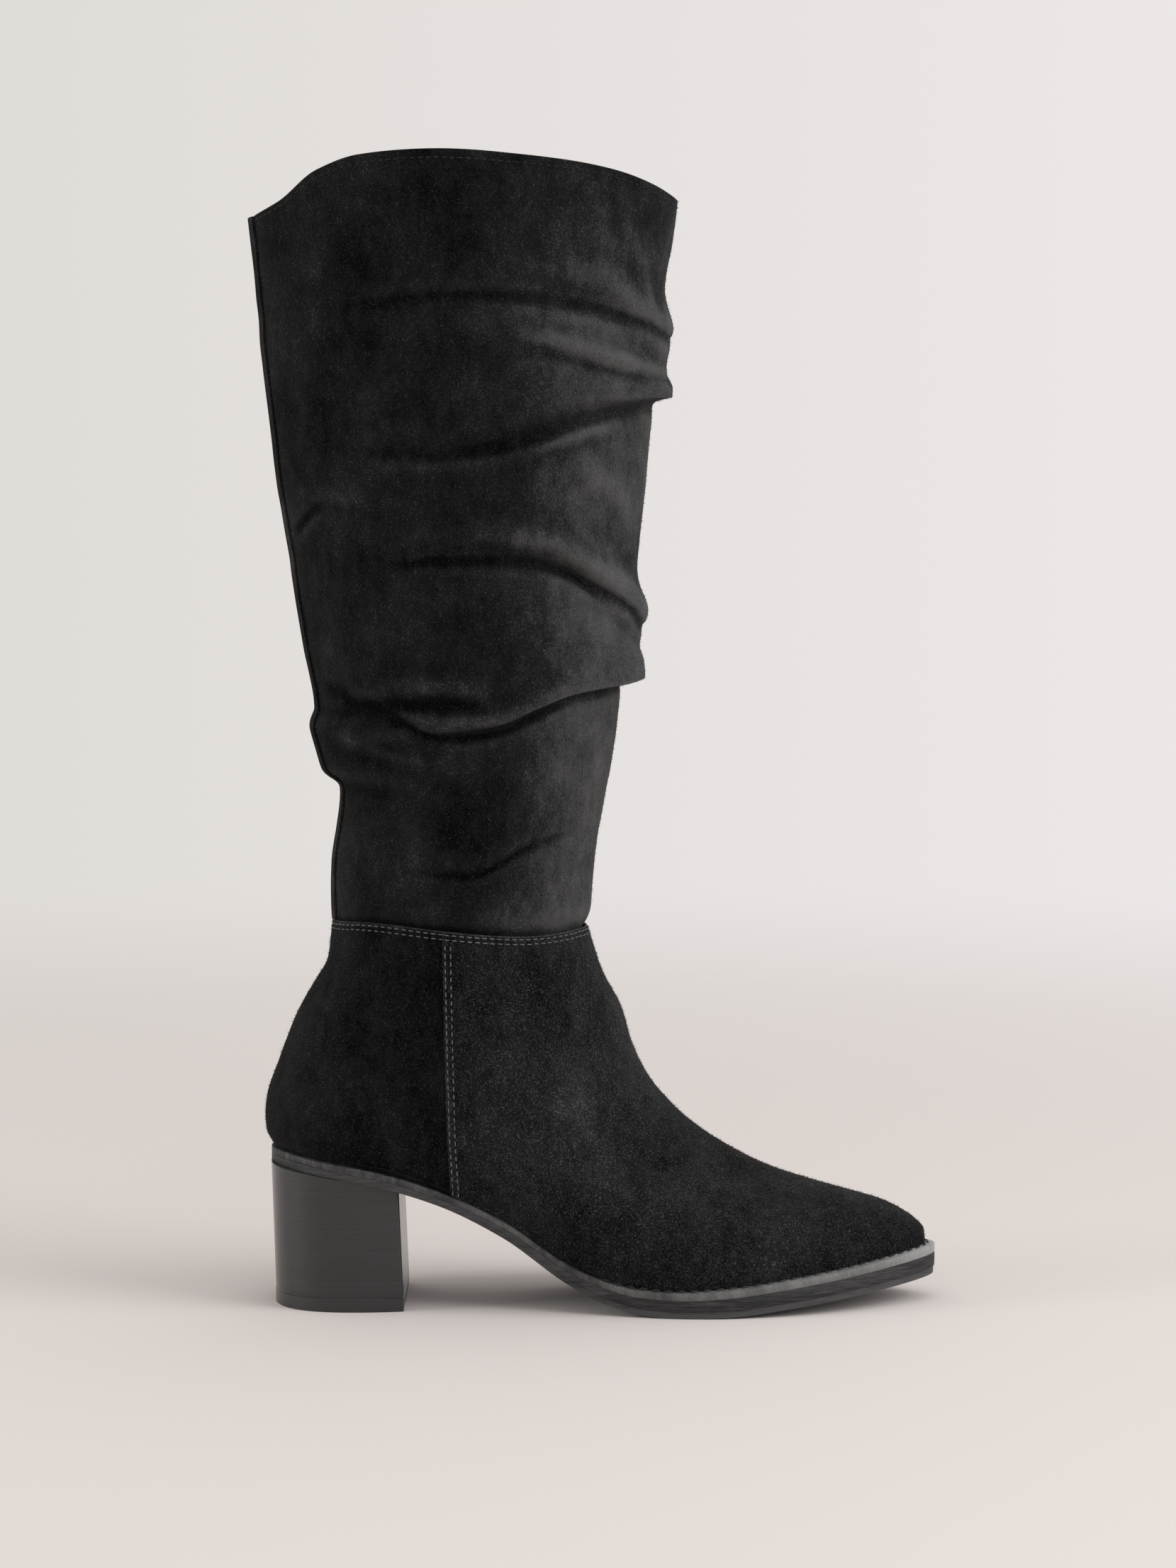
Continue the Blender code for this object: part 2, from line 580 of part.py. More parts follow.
def shaft_grid(stations):
    """Outer surface of the shaft, from its tucked lower end to the collar."""
    around, side = loop_around(stations)
    folds = list(FOLDS.values())[::-1]
    heights = [smooth(FOLD_STATIONS, fold.height, around) for fold in folds]
    heights.append(collar_share(around))
    outs = [SLOUCH * smooth(FOLD_STATIONS, fold.out, around) for fold in folds]
    outs.append(np.zeros_like(around))
    lines = np.arange(len(heights), dtype=float)
    rows = fold_rows()
    height = np.stack([smooth(lines, run, rows) for run in np.stack(heights, axis=1)], axis=1)
    out = np.stack([smooth(lines, run, rows) for run in np.stack(outs, axis=1)], axis=1)
    grid = [tube_point(height[i], around, side, out[i]) for i in range(len(rows))]
    return np.stack(tuck_rows(around, side) + grid)


def tuck_rows(around, side):
    """Lower end of the shaft, just inside the skived edge of the foot."""
    drops = np.linspace(LAP, 0.0, LAP_ROWS + 1)
    grid = np.stack([foot_point(np.full_like(around, 1 - d / ANKLE_RISE), around, side) for d in drops])
    inset = VAMP_STEP + SKIVED_EDGE + LAP_GAP
    rows = list(grid - inset * outward(grid))
    rows.append(rows[-1] + [0, 0, SEAM_TUCK])
    return rows


def make_back_strap(outer):
    """Strip down the shaft's back seam, standing on the shaft's own surface."""
    normal = outward(outer)
    columns = [1, 0, -1]
    start = LAP_ROWS + 3
    base = outer[start:, columns]
    away = normal[start:, columns]
    under = base + CLEARANCE * away
    over = base + (CLEARANCE + STRAP_THICKNESS) * away
    rows, across = under.shape[:2]
    points = np.concatenate([over.reshape(-1, 3), under.reshape(-1, 3)])
    size = rows * across
    faces = []
    for row in range(rows - 1):
        for i in range(across - 1):
            low, high = row * across + i, (row + 1) * across + i
            faces.append([low, low + 1, high + 1, high])
            faces.append([size + low, size + high, size + high + 1, size + low + 1])
        low, high = row * across, (row + 1) * across
        faces.append([size + low, low, high, size + high])
        low, high = low + across - 1, high + across - 1
        faces.append([low, size + low, size + high, high])
    for i in range(across - 1):
        top = (rows - 1) * across + i
        faces.append([top, top + 1, size + top + 1, size + top])
        faces.append([i + 1, i, size + i, size + i + 1])
    return make("back_strap", points, [face[::-1] for face in faces], (0.011, 0.011, 0.012), 0.9)


def make_shaft(outer):
    normal = smoothed(outward(outer), 2)
    normal /= np.linalg.norm(normal, axis=-1, keepdims=True)
    points, faces = shell(outer, outer - SHAFT_WALL * normal)
    return make("shaft", points, faces, (0.012, 0.012, 0.013), 0.9)


def centre(things):
    """Moves the pieces together so that the origin is under the middle of their box."""
    corners = np.array([corner for thing in things for corner in thing.bound_box])
    middle = (corners.min(axis=0) + corners.max(axis=0)) / 2
    for thing in things:
        thing.location = (-middle[0], -middle[1], 0.0)


def main():
    for thing in list(bpy.data.objects):
        bpy.data.objects.remove(thing)
    outer = shaft_grid(ankle_stations())
    centre(
        [
            make_outsole(),
            make_welt(),
            make_heel_block(),
            make_top_lift(),
            make_insole(),
            make_upper(),
            make_shaft(outer),
            make_back_strap(outer),
        ]
    )


main()
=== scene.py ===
"""Looks of the slouch boot: suede, seams, welt, sole and heel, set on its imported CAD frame.

Sizes are in millimetres in the shoe's own frame, with the sole's back at x = 0, and a mesh
is made in metres in the frame's place. +X runs to the toe, +Z up, -Y to the outer side.
A curve round the boot is read at a station: 0 at the back, 1 at the front, on each side.
"""

from __future__ import annotations

import logging
from collections import namedtuple
from dataclasses import dataclass
from enum import Enum

import bpy
import numpy as np
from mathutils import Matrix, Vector


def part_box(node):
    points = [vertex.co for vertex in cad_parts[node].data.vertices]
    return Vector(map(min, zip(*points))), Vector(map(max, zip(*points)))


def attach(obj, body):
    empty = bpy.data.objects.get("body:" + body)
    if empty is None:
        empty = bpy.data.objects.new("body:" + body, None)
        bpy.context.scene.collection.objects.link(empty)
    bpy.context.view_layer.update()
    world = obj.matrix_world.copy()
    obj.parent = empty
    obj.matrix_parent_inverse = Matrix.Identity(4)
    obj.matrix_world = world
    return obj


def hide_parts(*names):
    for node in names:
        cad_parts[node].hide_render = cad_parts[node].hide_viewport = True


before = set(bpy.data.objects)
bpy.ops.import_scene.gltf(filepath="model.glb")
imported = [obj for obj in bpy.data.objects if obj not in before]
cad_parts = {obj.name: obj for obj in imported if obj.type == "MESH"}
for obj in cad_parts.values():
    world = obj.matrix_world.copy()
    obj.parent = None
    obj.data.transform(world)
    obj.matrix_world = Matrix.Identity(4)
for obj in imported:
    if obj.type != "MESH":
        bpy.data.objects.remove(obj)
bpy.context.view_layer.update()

LOG = logging.getLogger("boot")
MM = 0.001
TINY = 1e-9

# Soft unevenness: cells along a side of its lattice, the cell at which x, y and z are
# nought, the tilt of the third drift, and what the sum of the three is divided by
LATTICE = 64
LATTICE_START = 40
LATTICE_TILT = 0.3
DRIFTS_SHARE = 1.7

# Unevenness of the suede: depth, size of a cell and seed
FOOT_DENTS = ((0.3, 24.0, 5), (0.12, 8.0, 8))
SHAFT_DENTS = ((0.5, 26.0, 1), (0.22, 9.0, 3))

# A stitch's rings and sides, half the step that gives its direction, and its ends' dip
STITCH_RINGS = 7
STITCH_SIDES = 6
STITCH_STEP = 0.3
STITCH_DIP = 0.9

# Light specks of the suede: stretches of their noise, its turn, and the range of it used
SPECK_STRETCHES = ((1.0, 1.0, 0.3), (0.3, 1.0, 1.0), (1.0, 0.3, 1.0))
SPECK_TURN = (0.5, 0.6, 0.4)
SPECK_RANGE = (0.58, 0.74)

Array = np.ndarray
Colour = tuple[float, float, float]

# Sole, from back to tip: where along its length, half width before its ends are rounded
# off, swing of its middle line, arch, spring, outsole, welt and ledge, as shares of sizes
Row = namedtuple("Row", "at fullness swing arch spring outsole welt ledge")
SOLE = (
    Row(0.00, 0.560, 0.000, 1.000, 0.00, 0.35, 0.90, 0.20),
    Row(0.05, 0.612, 0.000, 0.974, 0.00, 0.35, 0.90, 0.20),
    Row(0.11, 0.570, 0.000, 0.930, 0.00, 0.35, 0.90, 0.20),
    Row(0.17, 0.488, -0.006, 0.880, 0.00, 0.34, 0.88, 0.22),
    Row(0.25, 0.398, -0.022, 0.765, 0.00, 0.32, 0.85, 0.28),
    Row(0.35, 0.342, -0.042, 0.530, 0.00, 0.48, 0.85, 0.42),
    Row(0.45, 0.366, -0.044, 0.203, 0.00, 0.62, 0.90, 0.65),
    Row(0.50, 0.404, -0.038, 0.086, 0.00, 0.74, 0.93, 0.80),
    Row(0.55, 0.448, -0.030, 0.020, 0.00, 0.83, 0.96, 0.90),
    Row(0.62, 0.505, -0.020, 0.000, 0.00, 0.85, 0.98, 1.00),
    Row(0.68, 0.536, -0.011, 0.000, 0.04, 0.92, 1.00, 1.00),
    Row(0.78, 0.547, 0.000, 0.000, 0.31, 0.96, 1.00, 1.00),
    Row(0.86, 0.528, 0.012, 0.000, 0.55, 0.98, 1.03, 1.00),
    Row(0.93, 0.484, 0.023, 0.000, 0.78, 1.00, 1.06, 1.00),
    Row(1.00, 0.415, 0.034, 0.000, 1.00, 1.02, 1.10, 1.00),
)

# Painted light on the welt along the sole, from -1 to 1: paler towards the toe, where light falls on it
WELT_STATIONS = (0.0, 0.4, 0.55, 0.75, 0.92, 1.0)
WELT_PAINTED_LIGHT = (-0.85, -0.8, -0.6, -0.35, 0.1, 0.9)

# Foot of the upper, from the feather line to the ankle seam, as shares of its sizes: place
# and height of its back and front end, girths at heel, waist and ball, how much of it is
# the ankle's oval, and how much of the sole's arch it keeps
Foot = namedtuple("Foot", "up back_at back_lift front_at front_lift heel waist ball oval sag")
FOOT = (
    Foot(0.00, 0.005, 0.000, 0.986, -0.436, 1.00, 1.00, 1.000, 0.00, 1.00),
    Foot(0.06, -0.005, 0.028, 0.983, -0.384, 1.01, 1.05, 1.015, 0.00, 0.96),
    Foot(0.12, -0.011, 0.068, 0.968, -0.334, 1.02, 1.10, 1.010, 0.00, 0.92),
    Foot(0.20, -0.013, 0.130, 0.926, -0.262, 1.02, 1.14, 0.985, 0.00, 0.85),
    Foot(0.30, -0.011, 0.205, 0.840, -0.190, 1.00, 1.16, 0.930, 0.05, 0.70),
    Foot(0.40, -0.005, 0.282, 0.755, -0.110, 0.98, 1.16, 0.860, 0.15, 0.52),
    Foot(0.50, 0.007, 0.372, 0.678, 0.003, 0.97, 1.12, 0.800, 0.30, 0.36),
    Foot(0.60, 0.019, 0.468, 0.620, 0.128, 0.97, 1.08, 0.780, 0.45, 0.22),
    Foot(0.70, 0.033, 0.570, 0.573, 0.278, 0.98, 1.04, 0.800, 0.60, 0.12),
    Foot(0.80, 0.051, 0.670, 0.543, 0.446, 1.00, 1.00, 0.850, 0.75, 0.05),
    Foot(0.88, 0.068, 0.750, 0.526, 0.610, 1.00, 1.00, 0.900, 0.87, 0.00),
    Foot(0.94, 0.083, 0.828, 0.497, 0.776, 1.00, 1.00, 0.950, 0.95, 0.00),
    Foot(1.00, 0.090, 1.000, 0.475, 0.972, 1.00, 1.00, 1.000, 1.00, 0.00),
)
SEAM_STATIONS = (0.0, 0.15, 0.45, 0.8, 1.0)
SEAM_LIFT = (1.0, 1.012, 0.984, 0.957, 0.972)

# Collar edge: the drop below its highest point, as shares of the shaft's height
COLLAR_STATIONS = (0.0, 0.07, 0.17, 0.27, 0.45, 0.65, 0.85, 0.95, 1.0)
COLLAR_DROP = (0.085, 0.066, 0.026, 0.007, 0.0, 0.008, 0.026, 0.046, 0.062)

# Slack tube without its folds, from ankle to collar, as shares of its sizes
Tube = namedtuple("Tube", "up back front width")
TUBE = (
    Tube(0.00, 0.152, 0.752, 0.916),
    Tube(0.04, 0.151, 0.758, 0.921),
    Tube(0.14, 0.158, 0.784, 0.940),
    Tube(0.20, 0.147, 0.801, 0.947),
    Tube(0.29, 0.112, 0.831, 0.960),
    Tube(0.46, 0.060, 0.868, 0.974),
    Tube(0.62, 0.019, 0.894, 0.984),
    Tube(0.90, -0.031, 0.950, 1.000),
    Tube(1.00, -0.052, 0.973, 1.000),
)

# Lines of the folds from the collar down, at six stations: height as a share of the
# shaft's, stand-out as a share of the slouch
FOLD_STATIONS = (0.0, 0.2, 0.4, 0.6, 0.8, 1.0)
Fold = namedtuple("Fold", "height out")
FOLDS = {
    "plain_top": Fold((0.85, 0.87, 0.88, 0.88, 0.88, 0.83),
                      (0, 0, 0, 0, 0, -0.06)),
    "upper_ridge": Fold((0.83, 0.835, 0.845, 0.85, 0.84, 0.768),
                        (0, 0, 0.04, 0.06, 0.16, 0.6)),
    "upper_groove": Fold((0.79, 0.80, 0.81, 0.813, 0.804, 0.723),
                         (0, -0.02, -0.05, -0.1, -0.12, 0.4)),
    "upper_roll": Fold((0.76, 0.765, 0.77, 0.765, 0.735, 0.696),
                       (0, 0.04, 0.1, 0.15, 0.32, 0.88)),
    "upper_belly": Fold((0.67, 0.665, 0.655, 0.658, 0.686, 0.684),
                        (0, 0.04, 0.1, 0.16, 0.32, 0.94)),
    "upper_lip": Fold((0.61, 0.607, 0.605, 0.618, 0.648, 0.671),
                      (0, -0.03, -0.05, -0.08, -0.04, 0.1)),
    "plain_middle": Fold((0.55, 0.55, 0.55, 0.55, 0.54, 0.47),
                         (0, 0, 0, 0, 0, -0.02)),
    "lower_ridge": Fold((0.50, 0.507, 0.51, 0.508, 0.481, 0.401),
                        (0, 0.04, 0.08, 0.12, 0.28, 0.67)),
    "lower_groove": Fold((0.46, 0.466, 0.472, 0.474, 0.455, 0.363),
                         (0, -0.04, -0.1, -0.18, -0.16, 0.46)),
    "lower_roll": Fold((0.39, 0.39, 0.40, 0.408, 0.387, 0.338),
                       (0, 0.06, 0.22, 0.28, 0.44, 0.8)),
    "lower_belly": Fold((0.305, 0.300, 0.264, 0.266, 0.299, 0.316),
                        (-0.04, 0.12, 0.24, 0.3, 0.56, 0.98)),
    "lower_lip": Fold((0.28, 0.275, 0.249, 0.255, 0.290, 0.309),
                      (0.04, -0.08, -0.16, -0.18, -0.08, -0.16)),
    "back_roll": Fold((0.25, 0.24, 0.205, 0.205, 0.228, 0.235),
                      (0.52, 0.36, 0.12, 0.06, 0.04, 0)),
    "back_belly": Fold((0.201, 0.196, 0.175, 0.175, 0.187, 0.193),
                       (0.36, 0.22, 0.06, 0.05, 0.04, 0)),
    "back_lip": Fold((0.174, 0.166, 0.142, 0.142, 0.155, 0.16),
                     (-0.4, -0.18, 0, 0.02, 0.02, 0)),
    "low_crease": Fold((0.08, 0.078, 0.068, 0.075, 0.108, 0.12),
                       (0, -0.05, -0.12, -0.15, -0.1, 0)),
    "plain_foot": Fold((0.025, 0.024, 0.022, 0.02, 0.02, 0.022),
                       (-0.03, -0.03, -0.02, 0.0, 0.03, 0.08)),
}

# Rings of the outsole's edge, from its underside up: share of the height and inset, share
# of the tread band's height and of its step, and how pale the ring is at the forefoot
Edge = namedtuple("Edge", "share inset band step pale")
OUTSOLE_EDGE = (
    Edge(0.0, 5.0, 0, 0, 1.0),
    Edge(0.0, 0.05, 0, 1, 1.0),
    Edge(0.03, 0.02, 0, 1, 1.0),
    Edge(0.1, 0.0, 0, 1, 0.8),
    Edge(0.0, 0.0, 1, 1, 0.4),
    Edge(0.03, 0.0, 1, 0.2, -0.6),
    Edge(0.62, 0.0, 0, 0, -0.4),
    Edge(0.8, 0.0, 0, 0, -0.3),
    Edge(0.95, 0.02, 0, 0, -0.3),
    Edge(1.0, 0.1, 0, 0, -0.3),
    Edge(1.0, 4.0, 0, 0, -0.3),
)

# Rings of the welt's edge: share of the height, inset, and share of the notches' depth
WELT_EDGE = (
    (0.0, 5.0, 0.0), (0.0, 0.2, 0.0), (0.05, 0.05, 0.0), (0.12, 0.0, 0.0), (0.8, 0.0, 0.3),
    (0.93, 0.12, 0.8), (1.0, 0.5, 1.0), (1.0, 1.2, 0.5), (1.0, 2.0, 0.0), (1.0, 5.0, 0.0),
)

# Rings of the insole: share of the height and inset
INSOLE_EDGE = ((0.0, 6.0), (0.0, 0.3), (0.3, 0.0), (0.75, 0.0), (1.0, 0.5), (1.0, 6.0))

# Lights: name, place, side and power in watts
LIGHTS = (
    ("key", (1.7, -0.7, 1.1), 1.4, 32.0),
    ("rim", (-1.5, -0.4, 0.5), 0.5, 9.0),
    ("top", (0.3, -0.3, 1.9), 1.8, 9.0),
)


class Side(Enum):
    """Side of the boot, as the sign of y."""

    OUTER = -1
    INNER = 1


# Creases of the shaft: side, stations and heights above the floor of a line,
# depth there (a trough is negative), and reach above and below the line, in millimetres
Crease = namedtuple("Crease", "side stations heights depths above below")
CREASES = (
    Crease(Side.OUTER, (0.2, 0.3, 0.39, 0.47, 0.56, 0.67, 0.74, 0.81, 0.88, 0.95, 1.0),
           (381.0, 382.8, 385.3, 386.6, 386.9, 386.2, 384.7, 382.6, 379.6, 375.8, 370.5),
           (0.0, -0.1, -0.2, -0.3, -0.5, -0.8, -1.2, -1.4, -1.5, -1.5, -1.0), 1.8, 3.0),
    Crease(Side.OUTER, (0.2, 0.32, 0.46, 0.6, 0.72), (385.5, 388.5, 391.0, 391.0, 389.5),
           (0.0, 0.5, 0.5, 0.4, 0.0), 3.5, 2.5),
    Crease(Side.OUTER, (0.62, 0.7, 0.8, 0.9, 1.0), (368.0, 366.5, 361.5, 357.0, 354.5),
           (0.0, -0.5, -0.9, -1.2, -1.0), 2.2, 4.0),
    Crease(Side.OUTER, (0.64, 0.72, 0.82, 0.92, 1.0), (373.0, 371.0, 366.5, 361.5, 358.5),
           (0.0, 0.5, 0.7, 0.7, 0.4), 3.0, 2.4),
    Crease(Side.OUTER, (0.85, 0.89, 0.94, 0.97),
           (424.0, 412.0, 394.5, 384.0), (0.0, 0.9, 0.9, 0.0), 9.0, 9.0),
    Crease(Side.OUTER, (0.74, 0.82, 0.92, 1.0), (337.0, 341.0, 343.8, 345.5),
           (0.0, -0.5, -0.9, -0.8), 2.0, 3.5),
    Crease(Side.OUTER, (0.48, 0.55, 0.62, 0.68, 0.75, 0.82),
           (327.3, 328.5, 330.0, 332.5, 336.0, 339.5),
           (0.0, -0.9, -1.4, -1.4, -0.8, 0.0), 4.5, 2.6),
    Crease(Side.OUTER, (0.68, 0.74, 0.8, 0.86, 0.93), (328.0, 331.0, 334.3, 336.8, 338.5),
           (0.0, 0.7, 0.9, 0.7, 0.0), 1.5, 3.2),
    Crease(Side.OUTER, (0.76, 0.84, 0.92, 0.99),
           (331.0, 322.0, 312.0, 300.0), (0.0, 0.9, 0.9, 0.0), 7.0, 7.0),
    Crease(Side.OUTER, (0.2, 0.29, 0.4, 0.53, 0.62, 0.7, 0.76),
           (329.0, 328.0, 327.0, 327.0, 328.5, 331.0, 333.0),
           (0.0, -0.4, -0.6, -0.5, -0.3, -0.2, 0.0), 4.0, 3.0),
    Crease(Side.OUTER, (0.2, 0.32, 0.45, 0.58),
           (323.5, 322.5, 322.0, 323.0), (0.0, 0.6, 0.7, 0.0), 3.0, 4.0),
    Crease(Side.OUTER, (0.5, 0.55, 0.61, 0.69, 0.75, 0.81, 0.9, 0.98, 1.0),
           (300.0, 298.8, 296.0, 295.0, 293.0, 288.5, 281.5, 275.4, 270.0),
           (0.0, 0.6, 0.9, 1.0, 1.0, 1.0, 1.0, 0.8, 0.5), 5.0, 4.0),
    Crease(Side.OUTER, (0.24, 0.31, 0.36, 0.44, 0.57, 0.65, 0.73, 0.77, 0.82, 0.86, 0.91, 0.97, 1.0),
           (284.0, 285.4, 286.6, 287.6, 287.5, 287.2, 285.9, 284.2, 281.3, 277.8, 273.7, 267.7, 261.0),
           (0.0, -0.4, -0.7, -0.9, -1.2, -1.4, -1.6, -1.7, -1.8, -1.9, -1.9, -1.6, -1.2), 1.6, 2.8),
    Crease(Side.OUTER, (0.3, 0.36, 0.42, 0.48, 0.54, 0.62, 0.69, 0.76, 0.82, 0.9, 0.97, 1.0),
           (223.5, 222.2, 221.0, 220.7, 221.8, 223.9, 227.7, 230.8, 234.5, 236.9, 237.9, 239.3),
           (0.0, -0.6, -1.0, -1.4, -1.8, -1.8, -1.7, -1.6, -1.4, -1.2, -0.9, -0.6), 1.4, 2.4),
    Crease(Side.OUTER, (0.3, 0.42, 0.54, 0.69, 0.82, 0.97),
           (227.5, 225.5, 226.5, 232.5, 239.0, 243.0),
           (0.0, 0.5, 0.7, 0.6, 0.4, 0.0), 3.5, 2.5),
    Crease(Side.OUTER, (0.08, 0.2, 0.37, 0.48, 0.58), (233.0, 233.0, 233.3, 233.0, 231.5),
           (0.0, -2.2, -2.2, -1.7, 0.0), 2.4, 3.4),
    Crease(Side.OUTER, (0.16, 0.3, 0.45, 0.6),
           (241.0, 240.5, 240.0, 237.0), (0.0, 0.7, 0.8, 0.0), 4.0, 3.0),
    Crease(Side.OUTER, (0.08, 0.17, 0.37, 0.52),
           (219.0, 220.0, 223.5, 226.0), (0.2, 0.7, 0.9, 0.0), 3.0, 4.0),
    Crease(Side.OUTER, (0.03, 0.07, 0.1, 0.15),
           (239.0, 237.0, 236.0, 233.0), (0.0, -1.8, -1.8, 0.0), 4.0, 4.0),
    Crease(Side.OUTER, (0.24, 0.35, 0.43, 0.51, 0.56, 0.64, 0.71, 0.78, 0.86, 0.92),
           (170.1, 169.5, 168.3, 167.9, 168.5, 172.6, 176.9, 179.8, 182.4, 184.0),
           (0.0, -0.3, -0.5, -0.8, -1.2, -1.3, -1.1, -0.8, -0.4, 0.0), 1.3, 2.2),
    Crease(Side.OUTER, (0.35, 0.5, 0.62, 0.74, 0.86), (174.0, 172.5, 176.0, 182.5, 187.0),
           (0.0, 0.5, 0.7, 0.6, 0.0), 4.5, 2.5),
    Crease(Side.OUTER, (0.015, 0.05, 0.09, 0.13),
           (296.5, 301.0, 306.0, 308.5), (0.0, -1.3, -1.2, 0.0), 1.8, 2.4),
    Crease(Side.OUTER, (0.04, 0.1, 0.2, 0.32),
           (311.5, 312.0, 310.5, 308.0), (0.0, 0.8, 0.7, 0.0), 3.5, 3.5),
    Crease(Side.OUTER, (0.06, 0.14, 0.25, 0.37),
           (219.5, 217.5, 213.5, 209.5), (0.0, 0.8, 0.8, 0.0), 2.6, 3.4),
    Crease(Side.INNER, (0.22, 0.36, 0.5, 0.64, 0.8, 0.92, 1.0),
           (384.0, 389.0, 391.0, 388.0, 381.0, 375.0, 371.0),
           (0.0, -0.5, -0.8, -1.1, -1.4, -1.4, -1.0), 4.5, 3.0),
    Crease(Side.INNER, (0.3, 0.5, 0.7, 0.86, 1.0), (322.0, 327.0, 334.0, 341.0, 345.5),
           (0.0, -0.8, -1.2, -1.2, -0.8), 3.5, 4.0),
    Crease(Side.INNER, (0.24, 0.42, 0.58, 0.74, 0.88, 1.0),
           (280.0, 288.0, 290.0, 284.0, 274.0, 261.0),
           (0.0, -0.9, -1.3, -1.6, -1.8, -1.2), 3.5, 3.0),
    Crease(Side.INNER, (0.2, 0.38, 0.56, 0.74, 0.9, 1.0),
           (227.0, 222.0, 221.0, 228.0, 235.0, 239.3),
           (0.0, -1.0, -1.5, -1.5, -1.2, -0.6), 2.4, 4.0),
    Crease(Side.INNER, (0.04, 0.16, 0.32, 0.52),
           (237.0, 238.0, 235.0, 231.0), (0.0, -1.3, -1.6, 0.0), 3.4, 3.6),
    Crease(Side.INNER, (0.26, 0.44, 0.6, 0.78, 0.92), (172.0, 168.0, 169.0, 176.0, 182.0),
           (0.0, -0.9, -1.3, -1.0, 0.0), 2.6, 4.4),
)


def smooth(stations: Array, values: Array, at: Array) -> Array:
    """Monotone cubic through the stations, so that a level stretch stays level.

    Args:
        stations: rising places of the values.
        values: one value a station, or one row of values a station.
        at: places to read, in one dimension where values has rows.

    Returns:
        The values there, with a further axis where values has rows.
    """
    stations = np.asarray(stations, float)
    values = np.asarray(values, float)
    at = np.clip(np.asarray(at, float), stations[0], stations[-1])
    step = np.diff(stations)
    if values.ndim == 2:
        step = step[:, None]
    rise = np.diff(values, axis=0) / step
    level = rise[:-1] * rise[1:]
    under = np.where(level > 0, step[:-1] * rise[:-1] + step[1:] * rise[1:], 1.0)
    inner = np.where(level > 0, (step[:-1] + step[1:]) * level / under, 0.0)
    slope = np.concatenate([rise[:1], inner, rise[-1:]])
    index = np.clip(np.searchsorted(stations, at, side="right") - 1, 0, len(stations) - 2)
    t = at - stations[index]
    if values.ndim == 2:
        t = t[:, None]
    t = t / step[index]
    left = (1 + 2 * t) * (1 - t) ** 2 * values[index] + t * (1 - t) ** 2 * step[index] * slope[index]
    right = t * t * (3 - 2 * t) * values[index + 1] - t * t * (1 - t) * step[index] * slope[index + 1]
    return left + right


def column(table: tuple, name: str, at: Array) -> Array:
    """One named column of a table, read smoothly along its first column."""
    return smooth([row[0] for row in table], [getattr(row, name) for row in table], at)


def unit(vectors: Array) -> Array:
    """The vectors scaled to length one."""
    return vectors / np.maximum(np.linalg.norm(vectors, axis=-1, keepdims=True), TINY)


def softened(field_: Array, passes: int) -> Array:
    """A grid evened out with its neighbours, columns taken as a closed loop.

    Args:
        field_: rows of closed loops of points.
        passes: how many times each point is averaged, one, two, one, with its neighbours.

    Returns:
        The grid, of the same shape.
    """
    for _ in range(passes):
        padded = np.concatenate([field_[:1], field_, field_[-1:]])
        field_ = (padded[:-2] + 2 * padded[1:-1] + padded[2:]) / 4
        field_ = (np.roll(field_, 1, axis=1) + 2 * field_ + np.roll(field_, -1, axis=1)) / 4
    return field_


def normals(grid: Array, wrap: bool) -> Array:
    """Unit normals of a grid: the step along its columns crossed with the step up its rows.

    Args:
        grid: rows of points.
        wrap: whether a row is a closed loop.

    Returns:
        One normal a point.
    """
    if wrap:
        along = np.roll(grid, -1, axis=1) - np.roll(grid, 1, axis=1)
    else:
        along = np.gradient(grid, axis=1)
    return unit(np.cross(along, np.gradient(grid, axis=0)))


def arc(points: Array) -> Array:
    """Length along an open line of points, from its first point."""
    return np.concatenate([[0.0], np.cumsum(np.linalg.norm(np.diff(points, axis=0), axis=1))])


def drift(x: Array, y: Array, seed: int) -> Array:
    """Soft unevenness from -1 to 1: random heights on a lattice, eased between its points.

    Args:
        x: place across, in lattice cells.
        y: place up, in lattice cells.
        seed: seed of the lattice.

    Returns:
        One value a place.
    """
    lattice = np.random.default_rng(seed).uniform(-1, 1, (LATTICE, LATTICE))
    i = np.floor(x).astype(int)
    j = np.floor(y).astype(int)
    s = x - i
    t = y - j
    s = s * s * (3 - 2 * s)
    t = t * t * (3 - 2 * t)
    left, right = i % LATTICE, (i + 1) % LATTICE
    below, above = j % LATTICE, (j + 1) % LATTICE
    low = lattice[left, below] * (1 - s) + lattice[right, below] * s
    high = lattice[left, above] * (1 - s) + lattice[right, above] * s
    return low * (1 - t) + high * t


def uneven(points: Array, size: float, seed: int) -> Array:
    """Soft unevenness in space: drifts over the three planes, averaged.

    Args:
        points: points in millimetres.
        size: size of a lattice cell.
        seed: seed of the first lattice; the next two seeds are used too.

    Returns:
        One value a point, from -1 to 1.
    """
    x, y, z = (points[..., i] / size + LATTICE_START for i in range(3))
    total = drift(x, y, seed) + drift(y, z, seed + 1) + drift(x + LATTICE_TILT * y, z, seed + 2)
    return total / DRIFTS_SHARE


def dented(points: Array, dents: tuple[tuple[float, float, int], ...]) -> Array:
    """Several sizes of unevenness in space, added up.

    Args:
        points: points in millimetres.
        dents: depth, size of a cell and seed of each.

    Returns:
        One value a point, in millimetres.
    """
    return sum(depth * uneven(points, size, seed) for depth, size, seed in dents)


